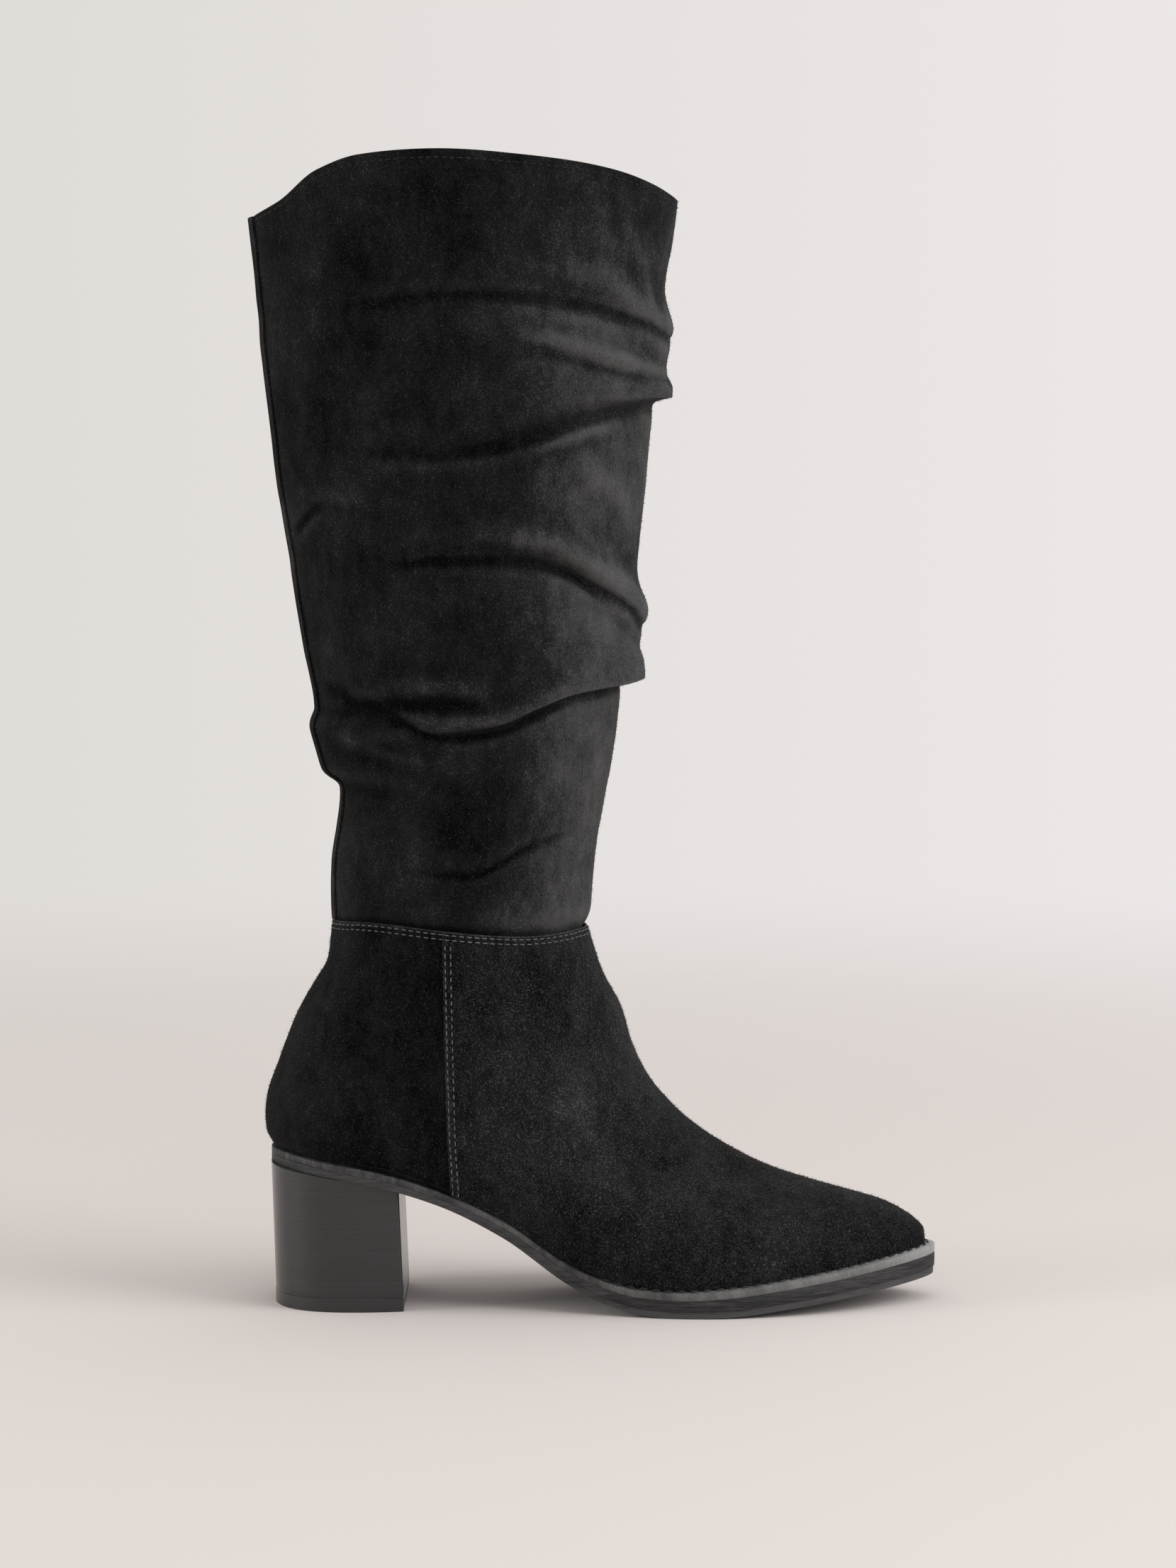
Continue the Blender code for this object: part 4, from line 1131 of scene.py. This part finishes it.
@dataclass
class HeelStack:
    """Block heel and its top lift."""

    last: Last
    length: float = 51.9
    width: float = 63.0
    back_taper: float = 1.5
    lean: float = 1.7
    lift: float = 5.2
    flare: float = 0.08
    gap: float = 0.03
    turn: float = 0.64
    power: float = 2.4
    narrowing: float = 0.06
    corner: float = 1.2
    closing: float = 3.0
    eased: float = 0.1
    rows: int = 26

    def outline(self, back: float, breast: float, grow: float) -> tuple[Array, Array]:
        """Outline of the heel in plan: a rounded back, sides and a straight breast.

        The back is a superellipse, the corners at the breast are quarter circles.

        Args:
            back: x of its back.
            breast: x of its breast.
            grow: how far the outline stands out.

        Returns:
            x and y round the closed ring.
        """
        share = self.turn * (1 - np.cos(np.linspace(0, np.pi / 2, 40)))
        share = np.concatenate([share, np.linspace(self.turn, 1.0, 12)[1:]])
        x = back + (breast - self.corner - back) * share
        away = np.clip((self.turn - share) / self.turn, 0, 1)
        half = self.width / 2 * (1 - away**self.power) ** (1 / self.power)
        half = half * (1 - self.narrowing * np.clip((share - self.turn) / (1 - self.turn), 0, 1) ** 2)
        half = half + grow * (share > 0)
        angle = np.linspace(0, np.pi / 2, 7)[1:]
        x = np.concatenate([x, x[-1] + self.corner * np.sin(angle)])
        half = np.concatenate([half, half[-1] - self.corner * (1 - np.cos(angle))])
        across = np.linspace(1, 0, 8)[1:]
        x = np.concatenate([x, np.full(len(across), x[-1])])
        half = np.concatenate([half, half[-1] * across])
        return np.concatenate([x, x[-2:0:-1]]), np.concatenate([-half, half[-2:0:-1]])

    def level(self, down: float, height: float | None, grow: float = 0.0) -> Array:
        """Ring of the heel.

        Args:
            down: 0 at its top and 1 at the floor.
            height: height of the ring, or None to follow the sole's underside.
            grow: how far the outline stands out.

        Returns:
            Points of the closed ring.
        """
        breast = self.length + self.lean * (down - 1)
        x, y = self.outline(self.back_taper * down - grow, breast + grow, grow)
        if height is None:
            height = self.last.tread(x / self.last.length) - self.gap
        return np.stack([x, y, height + 0 * x], -1)

    def build(self, maker: Maker) -> None:
        """Makes the heel block and the top lift.

        The block's rings run straight from its foot to its top, which follows the sole.

        Args:
            maker: maker of meshes.
        """
        bottom = self.lift + self.gap
        foot = self.level(1.0, bottom)
        top = self.level(0.0, None)
        rows = [self.level(1.0, bottom, -self.closing), self.level(1.0, bottom, -self.eased)]
        rows += [foot + (top - foot) * share for share in np.linspace(0.01, 1.0, self.rows)]
        rows.append(self.level(0.0, None, -self.closing))
        points, faces = plate(np.stack(rows))
        maker.mesh("heel_body", points, faces, HEEL, "heel", ("heel_block",))
        rows = [self.level(1.0, z, self.flare - inset) for z, inset in (
            (0.0, self.closing), (0.0, 0.15), (0.15, 0.0), (1.5, 0.0), (3.0, 0.0),
            (self.lift - self.eased, 0.0), (self.lift, self.eased), (self.lift, self.closing))]
        points, faces = plate(np.stack(rows))
        maker.mesh("heel_lift", points, faces, LIFT, "outsole", ("top_lift",))


@dataclass
class FootUpper:
    """Vamp, quarter, lining and seams of the foot.

    Sizes are in millimetres. Light is painted onto faces that look up ("lit") and onto
    bulges, and shade into hollows; the suede is also paler round the brushed place on the
    vamp and along its cut edges, and darker elsewhere ("dull") and towards the toe. Its
    unevenness fades out within "calm" of an edge, where "reach" and "lap_reach" turn an
    angle round the boot into a distance.
    """

    last: Last
    wall: float = 2.0
    vamp_step: float = 0.9
    lap: float = 10.0
    rows: int = 130
    quarter_columns: int = 170
    vamp_columns: int = 330
    seam_rows: tuple[float, float] = (1.2, 3.0)
    side_rows: tuple[float, float] = (1.0, 3.1)
    ankle_pitch: float = 2.9
    side_pitch: float = 2.9
    stitch: float = 2.0
    thread: float = 0.22
    raw_edge: float = 0.5
    calm: float = 6.0
    reach: float = 40.0
    lap_reach: float = 90.0
    edge_ease: float = 0.3
    edge_reach: float = 0.35
    brushed_at: tuple[float, float] = (118.0, 84.0)
    brushed_reach: tuple[float, float] = (30.0, 32.0)
    toe_from: float = 190.0
    toe_to: float = 240.0
    lit: float = 0.2
    dull: float = 0.3
    brushing: float = 0.7
    brightest: float = 0.8
    raw: float = 0.9
    lip: float = 1.2
    cut: float = 0.6
    lining_gap: float = 0.1
    lining: float = 0.7
    lining_rows: int = 60
    lining_columns: int = 180
    seam_columns: int = 720
    side_from: float = 0.02
    side_to: float = 0.983
    quarter_fibres: int = 9000
    vamp_fibres: int = 32000

    def ups(self) -> Array:
        """Shares up the foot, closer together at both edges."""
        even = np.linspace(0, 1, self.rows)
        return np.unique(np.concatenate([even, [0.002, 0.005, 0.99, 0.9945, 0.9975, 0.999]]))

    def surface(self, turn: Array, up: Array) -> Array:
        """Points of the foot at turns round the boot and shares up it.

        Args:
            turn: 0 at the back, pi at the front, going by the outer side.
            up: shares up the foot, one a row.

        Returns:
            Grid of points.
        """
        station = (1 - np.cos(turn)) / 2
        side = np.where(np.sin(turn) >= 0, -1.0, 1.0)
        return self.last.foot(up[:, None], station, side)

    def sheet(self, turn: Array, inset: float, thick: float, maker: Maker, name: str,
              finish: Finish, stands_for: tuple[str, ...] = ()) -> tuple[Array, Array]:
        """Makes a sheet of suede on the foot's surface, its cut edges eased.

        It is the surface moved along its normals by the dents, less the inset, and less an
        ease that falls off as a bell below the ankle seam.

        Args:
            turn: turns of its columns, one row of them a row.
            inset: how far it lies under the surface.
            thick: its thickness.
            maker: maker of meshes.
            name: name of the piece.
            finish: its finish.
            stands_for: CAD nodes that it replaces.

        Returns:
            Its outer grid and normals.
        """
        ups = self.ups()
        grid = self.surface(turn, ups)
        away = normals(grid, False)
        border = np.minimum(ups, 1 - ups)[:, None] * self.last.ankle_rise
        ends = np.minimum(turn - turn[:, :1], turn[:, -1:] - turn) * self.reach
        calm = np.clip(border / self.calm, 0, 1) * np.clip(ends / self.calm, 0, 1)
        under = (1 - ups)[:, None] * self.last.ankle_rise / self.edge_reach
        ease = self.edge_ease * np.exp(-under ** 2)
        outer = grid + away * (dented(grid, FOOT_DENTS) * calm - inset - ease)[..., None]
        inner = grid - away * (inset + thick)
        rest = self.last.sole_top(inner[..., 0] / self.last.length) + self.last.clearance
        inner[..., 2] = np.maximum(inner[..., 2], rest)
        bulge = np.einsum("ijk,ijk->ij", away, grid - softened(grid, 6))
        off = (grid[..., ::2] - self.brushed_at) / self.brushed_reach
        brushed = self.brushing * np.exp(-(off ** 2).sum(axis=-1))
        toe = self.dull * np.clip((grid[..., 0] - self.toe_from) / (self.toe_to - self.toe_from), 0, 1)
        # Painted light on faces that look up and on bulges and painted shade in hollows, with the
        # brushed place, the overall dulling and the darker toe
        relief = self.lit * away[..., 2] + bulge * calm - self.dull + brushed - toe
        relief = np.clip(relief, -1, self.brightest)
        relief[self.last.seat() + self.last.ankle_rise - grid[..., 2] < self.raw_edge] = self.raw
        relief[ups > 0.9985] = self.lip
        relief[:, [0, -1]] = self.cut
        points, faces = wall(outer, inner, False)
        relief = np.concatenate([relief.ravel()] * 2)
        maker.mesh(name, points, faces, finish, "suede", stands_for, relief)
        return outer, away

    def build(self, maker: Maker) -> None:
        """Makes the foot's pieces.

        The quarter runs round the back from side seam to side seam and on under the vamp,
        which runs round the front.

        Args:
            maker: maker of meshes.
        """
        ups = self.ups()
        seam = self.last.seam_station(ups)
        at_seam = np.arccos(1 - 2 * seam)[:, None]
        share = np.linspace(-1, 1, self.quarter_columns)
        turn = (at_seam + self.lap / self.lap_reach) * share[None, :]
        quarter = self.sheet(turn, self.vamp_step, self.wall - self.vamp_step, maker, "quarter", SUEDE)
        share = np.linspace(0, 1, self.vamp_columns)
        turn = at_seam + (2 * np.pi - 2 * at_seam) * share[None, :]
        vamp = self.sheet(turn, 0.0, self.vamp_step - 0.05, maker, "vamp", VAMP, ("upper",))
        self._lining(maker)
        self._seams(maker)
        for name, (outer, away), count, seed in (
            ("quarter_nap", quarter, self.quarter_fibres, 11),
            ("vamp_nap", vamp, self.vamp_fibres, 12),
        ):
            points, faces = nap(outer, away, False, count, seed)
            maker.mesh(name, points, faces, NAP, "suede", sharp=180.0)

    def _lining(self, maker: Maker) -> None:
        """Makes the lining: the foot's surface moved in along its normals.

        Args:
            maker: maker of meshes.
        """
        ups = np.linspace(0.02, 0.985, self.lining_rows)
        turn = np.linspace(0, 2 * np.pi, self.lining_columns + 1)[:-1]
        grid = self.surface(turn[None, :] + 0 * ups[:, None], ups)
        away = normals(grid, True)
        outer = grid - away * (self.wall + self.lining_gap)
        inner = grid - away * (self.wall + self.lining_gap + self.lining)
        points, faces = wall(outer, inner, True)
        maker.mesh("foot_lining", points, faces, LINING, "suede")

    def _seams(self, maker: Maker) -> None:
        """Makes two rows of stitches under the ankle seam and two beside each side seam.

        A row under the ankle seam lies a set length down the surface, and on the quarter it
        lies deeper by the vamp's step. A row beside a side seam lies a set length ahead.

        Args:
            maker: maker of meshes.
        """
        lines = []
        turn = np.linspace(0, 2 * np.pi, self.seam_columns + 1)[:-1]
        up = np.linspace(0.94, 1.0, 121)
        grid = self.surface(turn[None, :] + 0 * up[:, None], up)
        away = normals(grid, True)
        down = np.cumsum(np.linalg.norm(np.diff(grid[::-1], axis=0), axis=-1), axis=0)
        station = (1 - np.cos(turn)) / 2
        proud = np.clip((station - self.last.seam_station(1.0)) * 400, 0, 1)
        every = np.arange(len(turn))
        for drop in self.seam_rows:
            row = len(up) - 2 - (down < drop).sum(axis=0)
            out = away[row, every]
            under = out * (self.vamp_step * (1 - proud))[:, None]
            lines.append((grid[row, every] - under, out, self.ankle_pitch, True))
        for ahead in self.side_rows:
            for side in (-1.0, 1.0):
                up = np.linspace(self.side_from, self.side_to, 200)
                back = self.last.length * column(FOOT, "back_at", up)
                front = self.last.length * column(FOOT, "front_at", up)
                station = self.last.seam_station(up) + ahead / (front - back)
                path = self.last.foot(up, station, side)
                beside = self.last.foot(up, station + 0.01, side)
                away = unit(np.cross(beside - path, np.gradient(path, axis=0))) * -side
                lines.append((path, away, self.side_pitch, False))
        points, faces, count = [], [], 0
        for path, away, pitch, closed in lines:
            more, cells = stitches(path, away, pitch, self.stitch, self.thread, closed)
            points.append(more)
            faces.append(cells + count)
            count += len(more)
        maker.mesh("foot_stitches", np.concatenate(points), np.concatenate(faces), THREAD, "suede")


@dataclass
class ShaftUpper:
    """Slack shaft with its folds, lining, back strap and collar stitches.

    Sizes are in millimetres. Creases and unevenness start above "calm_from". The shade
    fields say where the painted shading is darker over the ankle seam and at the collar,
    and from which station to which light is painted onto its front. The strap's sizes
    are in columns, and the first "bare_rows" of the surface, hidden in the foot, carry no
    fibres.
    """

    last: Last
    height: float = 293.0
    wall: float = 1.8
    skin: float = 1.0
    length: float = 163.0
    width: float = 76.0
    slouch: float = 8.0
    lap: float = 8.0
    tuck: float = 2.1
    strap: float = 1.2
    columns: int = 330
    pitch: float = 1.3
    inner_step: int = 5
    inner_gap: float = 0.4
    collar_row: float = 2.3
    collar_pitch: float = 3.0
    collar_stitch: float = 1.95
    collar_thread: float = 0.25
    calm_from: float = 157.0
    calm_reach: float = 10.0
    # Stations from which light is painted onto the front, and where it is full
    lit_front_from: float = 0.6
    lit_front_full: float = 0.86
    seam_shade: float = 152.0
    seam_reach: float = 14.0
    collar_shade: float = 440.0
    collar_reach: float = 36.0
    strap_half: int = 7
    strap_sunk: float = 0.3
    strap_edge: int = 2
    rim_rise: float = 0.35
    rim_ease: float = 0.12
    rim_shade: float = 0.5
    lining_gap: float = 0.05
    lining_step: int = 3
    bare_rows: int = 10
    fibres: int = 32000

    def tube(self, height: Array, station: Array, side: Array, out: Array) -> Array:
        """Points of the slack tube, an oval whose ends and width change with the height.

        Args:
            height: share of the shaft's height.
            station: station round the oval.
            side: -1 outside, 1 inside.
            out: how far the point stands out of the oval, square to it.

        Returns:
            Points in millimetres.
        """
        back = self.length * column(TUBE, "back", height)
        front = self.length * column(TUBE, "front", height)
        half = self.width / 2 * column(TUBE, "width", height)
        reach = (front - back) / 2
        turn = np.arccos(np.clip(1 - 2 * station, -1, 1))
        size = np.hypot(np.cos(turn) * half, np.sin(turn) * reach)
        x = (back + front) / 2 - np.cos(turn) * (reach + out * half / size)
        y = side * np.sin(turn) * (half + out * reach / size)
        z = self.last.seat() + self.last.ankle_rise + self.height * height
        return np.stack([x, y, z + 0 * x], -1)

    def around(self) -> tuple[Array, Array]:
        """Columns spaced evenly by length round a middling oval, from the back outwards.

        Returns:
            Station and side of each column, going by the outer side first.
        """
        turn = np.linspace(0, 2 * np.pi, 4001)
        oval = np.stack([-np.cos(turn) * 0.45 * self.length, -np.sin(turn) * self.width / 2], -1)
        run = arc(oval)
        even = np.interp(np.arange(self.columns) / self.columns * run[-1], run, turn)
        return (1 - np.cos(even)) / 2, np.where(np.sin(even) >= 0, -1.0, 1.0)

    def grid(self) -> tuple[Array, Array, Array, Array]:
        """Outer surface, from its tucked lower end to the collar.

        Between the fold lines a column's height and stand-out are monotone cubics of the
        line's number, and rows are spaced by the mean length of that curve.

        Returns:
            Points, normals, depth of the creases and dents, and each column's station.
        """
        station, side = self.around()
        folds = list(FOLDS.values())[::-1]
        heights = [smooth(FOLD_STATIONS, fold.height, station) for fold in folds]
        heights.append(1 - smooth(COLLAR_STATIONS, COLLAR_DROP, station))
        outs = [self.slouch * smooth(FOLD_STATIONS, fold.out, station) for fold in folds]
        outs.append(np.zeros_like(station))
        heights, outs = np.stack(heights), np.stack(outs)
        lines = np.arange(len(heights), dtype=float)
        fine = np.linspace(0, lines[-1], 2001)
        high = smooth(lines, heights, fine)
        far = smooth(lines, outs, fine)
        steps = np.hypot(np.diff(high, axis=0) * self.height, np.diff(far, axis=0)).mean(axis=1)
        run = np.concatenate([[0.0], np.cumsum(steps)])
        rows = np.interp(np.linspace(0, run[-1], int(run[-1] / self.pitch)), run, fine)
        high = smooth(lines, heights, rows)
        far = smooth(lines, outs, rows)
        body = self.tube(high, station, side, far)
        drops = np.linspace(self.lap, 0.0, 5)
        foot = self.last.foot((1 - drops / self.last.ankle_rise)[:, None], station, side)
        tucked = foot - self.tuck * normals(foot, True)
        blend = np.linspace(0, 1, 8)[1:-1, None, None]
        ease = 1 - (1 - blend) ** 2
        rise = tucked[-1] + (body[0] - tucked[-1]) * blend
        rise[..., :2] = (tucked[-1] + (body[0] - tucked[-1]) * ease)[..., :2]
        grid = np.concatenate([tucked, rise, body])
        away = unit(softened(normals(grid, True), 2))
        depth = self.relief(grid, station, side)
        grid = grid + away * depth[..., None]
        return grid, unit(softened(normals(grid, True), 1)), depth, station

    def relief(self, grid: Array, station: Array, side: Array) -> Array:
        """Depth of the creases and of the suede's soft unevenness.

        A crease is its depth at a station times a bell across its line, wider above or
        below. Before its first station it isn't there, and past its last station its last
        depth holds.

        Args:
            grid: points of the surface.
            station: station of each column.
            side: side of each column.

        Returns:
            Displacement of each point along its normal.
        """
        z = grid[..., 2]
        depth = np.zeros(z.shape)
        for crease in CREASES:
            within = (station >= crease.stations[0]) & (side == crease.side.value)
            crest = np.where(within, smooth(crease.stations, crease.depths, station), 0.0)
            away = z - smooth(crease.stations, crease.heights, station)
            reach = np.where(away > 0, crease.above, crease.below)
            depth += crest * np.exp(-((away / reach) ** 2))
        depth += dented(grid, SHAFT_DENTS)
        return depth * np.clip((z - self.calm_from) / self.calm_reach, 0, 1)

    def inner_face(self, grid: Array, away: Array, rows: Array, depth: float) -> Array:
        """A face inside the suede at a few rows, pressed in behind the troughs between them.

        A straight line between two rows may come out through a trough. The most by which it
        does so is added to the depth of both its rows.

        Args:
            grid: outer surface.
            away: its normals.
            rows: rows of the inner face, from the collar down.
            depth: how far it lies under the outer surface.

        Returns:
            Points of the inner face, row by row.
        """
        face = grid[rows] - depth * away[rows]
        more = np.zeros(face.shape[:2])
        for i in range(len(rows) - 1):
            between = np.arange(rows[i + 1] + 1, rows[i])
            share = ((rows[i] - between) / (rows[i] - rows[i + 1]))[:, None, None]
            line = face[i] * (1 - share) + face[i + 1] * share
            out = np.einsum("ijk,ijk->ij", line - grid[between], away[between]) + self.inner_gap
            most = out.max(axis=0, initial=0.0)
            more[i] = np.maximum(more[i], most)
            more[i + 1] = np.maximum(more[i + 1], most)
        return face - more[..., None] * away[rows]

    def build(self, maker: Maker) -> None:
        """Makes the shaft's pieces.

        The suede is closed over its rim by two rings, a little in from the surface and half
        its thickness in, and runs down inside. The lining follows its inner face.

        Args:
            maker: maker of meshes.
        """
        grid, away, depth, station = self.grid()
        top = len(grid) - 1
        inside = np.concatenate([[0], np.arange(2, top, self.inner_step), [top - 1, top]])
        inside = np.unique(inside)[::-1]
        crown = grid[-1] - 0.5 * self.skin * away[-1] + [0.0, 0.0, self.rim_rise]
        rings = np.concatenate([grid[:-1], grid[-1:] - self.rim_ease * away[-1:], crown[None],
                                self.inner_face(grid, away, inside, self.skin)])
        points, faces = tube(rings)
        shade = self.shade(grid, away, depth, station)
        shade = np.concatenate([shade, shade[-1:] * 0 + self.rim_shade, shade[inside] * 0])
        maker.mesh("shaft_suede", points, faces, SUEDE, "suede", ("shaft",), shade)
        rows = np.arange(top, -1, -self.lining_step)
        lining = self.inner_face(grid, away, rows, self.skin + self.lining_gap)[:, ::2]
        points, faces = wall(lining, lining - away[rows, ::2] * (self.wall - self.skin), True)
        maker.mesh("shaft_lining", points, faces, LINING, "suede")
        self._strap(maker, grid, away)
        self._collar(maker, grid, away)
        points, faces = nap(grid[self.bare_rows:], away[self.bare_rows:], True, self.fibres, 13)
        maker.mesh("shaft_nap", points, faces, NAP, "suede", sharp=180.0)

    def shade(self, grid: Array, away: Array, depth: Array, station: Array) -> Array:
        """How far each point is darkened by painted shade or lightened by painted light.

        Painted shade darkens troughs and faces that look down; painted light lightens
        ridges, faces that look up and the front, the front least so at the collar.

        Args:
            grid: outer surface.
            away: its normals.
            depth: depth of the creases and dents.
            station: station of each column.

        Returns:
            One value a point.
        """
        bulge = np.einsum("ijk,ijk->ij", away, grid - softened(grid, 5))
        above = np.clip((grid[..., 2] - self.seam_shade) / self.seam_reach, 0.1, 1)
        # Painted shade in troughs and on faces that look down, painted light on ridges and faces that
        # look up
        form = depth / 4 + 2.5 * bulge + 0.5 * above * away[..., 2]
        # Painted light on the front, less of it at the collar
        front = np.clip((station - self.lit_front_from) / (self.lit_front_full - self.lit_front_from), 0, 1)
        below = np.clip((self.collar_shade - grid[..., 2]) / self.collar_reach, 0.5, 1.9)
        return np.clip(form, -0.9, 1.2) + front * below

    def _strap(self, maker: Maker, grid: Array, away: Array) -> None:
        """Makes the strap down the back seam, its edges eased and paler.

        Its thickness is lessened by a bell at either edge.

        Args:
            maker: maker of meshes.
            grid: outer surface of the shaft.
            away: its normals.
        """
        columns = np.arange(-self.strap_half, self.strap_half + 1)
        across = np.abs(columns)
        base = grid[4:, columns]
        out = away[4:, columns]
        eased = 0.5 * np.exp(-((self.strap_half + 0.2 - across) / 1.2) ** 2)
        crown = self.strap + self.strap_sunk - eased
        outer = base + out * crown[None, :, None]
        inner = base + out * self.strap_sunk
        points, faces = wall(outer, inner, False)
        wear_and_shade = np.where(across > self.strap_half - self.strap_edge, 0.9, 0.1) + 0 * base[..., 0]
        wear_and_shade = np.concatenate([wear_and_shade.ravel()] * 2)
        maker.mesh("back_strip", points, faces, SUEDE, "suede", ("back_strap",), wear_and_shade)

    def _collar(self, maker: Maker, grid: Array, away: Array) -> None:
        """Makes one row of stitches on the surface's row below the collar's edge.

        Args:
            maker: maker of meshes.
            grid: outer surface of the shaft.
            away: its normals.
        """
        row = -1 - int(round(self.collar_row / self.pitch))
        points, faces = stitches(grid[row], away[row], self.collar_pitch, self.collar_stitch,
                                 self.collar_thread, True)
        maker.mesh("collar_stitches", points, faces, DARK_THREAD, "suede")


@dataclass
class Studio:
    """Floor, soft lights and the camera at the photograph's viewing angle."""

    eye: tuple[float, float, float] = (-0.0026, -1.8989, 0.372)
    pitch: float = 5.17
    lens: float = 113.8
    left: Colour = (0.735, 0.705, 0.675)
    right: Colour = (0.845, 0.805, 0.80)
    turn: float = 0.13
    ground: Colour = (0.555, 0.521, 0.503)
    near: float = 0.25
    far: float = 1.5
    reach: float = 6.0
    aim: tuple[float, float, float] = (0.0, 0.0, 0.2)

    def build(self) -> None:
        """Makes the floor, the lights, the world and the camera.

        The world's colour runs evenly from left to right over the picture's width.
        """
        scene = bpy.context.scene
        scene.view_settings.view_transform = "Standard"
        world = bpy.data.worlds.new("studio")
        world.use_nodes = True
        tree = world.node_tree
        way = node(tree, "SeparateXYZ", {0: node(tree, "TexCoord", {}).outputs["Generated"]})
        limits = {"Value": way.outputs["X"], "From Min": -self.turn, "From Max": self.turn}
        share = node(tree, "MapRange", limits)
        ramp = tree.nodes.new("ShaderNodeValToRGB")
        ramp.color_ramp.elements[0].color = (*self.left, 1.0)
        ramp.color_ramp.elements[1].color = (*self.right, 1.0)
        tree.links.new(share.outputs["Result"], ramp.inputs["Fac"])
        tree.links.new(ramp.outputs["Color"], tree.nodes["Background"].inputs["Color"])
        scene.world = world
        mesh = bpy.data.meshes.new("floor")
        corners = [(x * self.reach, y * self.reach, 0) for x, y in ((-1, -1), (1, -1), (1, 1), (-1, 1))]
        mesh.from_pydata(corners, [], [(0, 1, 2, 3)])
        mesh.materials.append(self._ground())
        floor = bpy.data.objects.new("floor", mesh)
        scene.collection.objects.link(floor)
        for name, at, size, power in LIGHTS:
            self._light(name, at, size, power)
        camera = bpy.data.objects.new("camera", bpy.data.cameras.new("camera"))
        camera.data.lens = self.lens
        camera.data.sensor_width = 36.0
        camera.data.clip_start = 0.01
        camera.location = self.eye
        camera.rotation_euler = (np.radians(90 - self.pitch), 0.0, 0.0)
        scene.collection.objects.link(camera)
        scene.camera = camera

    def _ground(self) -> bpy.types.Material:
        """Makes a matt floor that fades to clear with its distance from the boot.

        Returns:
            The material.
        """
        made = bpy.data.materials.new("studio_floor")
        made.use_nodes = True
        tree = made.node_tree
        shader = tree.nodes["Principled BSDF"]
        shader.inputs["Base Color"].default_value = (*self.ground, 1.0)
        shader.inputs["Roughness"].default_value = 0.9
        shader.inputs["Specular IOR Level"].default_value = 0.1
        away = node(tree, "VectorMath", {0: node(tree, "TexCoord", {}).outputs["Object"]})
        away.operation = "LENGTH"
        limits = {"From Min": self.near, "From Max": self.far, "To Min": 1.0, "To Max": 0.0}
        fade = node(tree, "MapRange", {"Value": away.outputs["Value"], **limits})
        fade.interpolation_type = "SMOOTHSTEP"
        tree.links.new(fade.outputs["Result"], shader.inputs["Alpha"])
        return made

    def _light(self, name: str, at: tuple[float, float, float], size: float, power: float) -> None:
        """One square area light that faces the boot.

        Args:
            name: its name.
            at: where it stands.
            size: its side.
            power: its power in watts.
        """
        lamp = bpy.data.lights.new(name, "AREA")
        lamp.size = size
        lamp.energy = power
        made = bpy.data.objects.new(name, lamp)
        made.location = at
        made.rotation_euler = (Vector(self.aim) - Vector(at)).to_track_quat("-Z", "Y").to_euler()
        bpy.context.scene.collection.objects.link(made)


def main() -> None:
    """Builds the studio and the boot's pieces in order."""
    logging.basicConfig(level=logging.INFO, format="%(message)s")
    Studio().build()
    last = Last()
    maker = Maker(last.place())
    for part in (Bottom(last), HeelStack(last), FootUpper(last), ShaftUpper(last)):
        part.build(maker)
    bpy.context.view_layer.update()


if __name__ == "__main__":
    main()
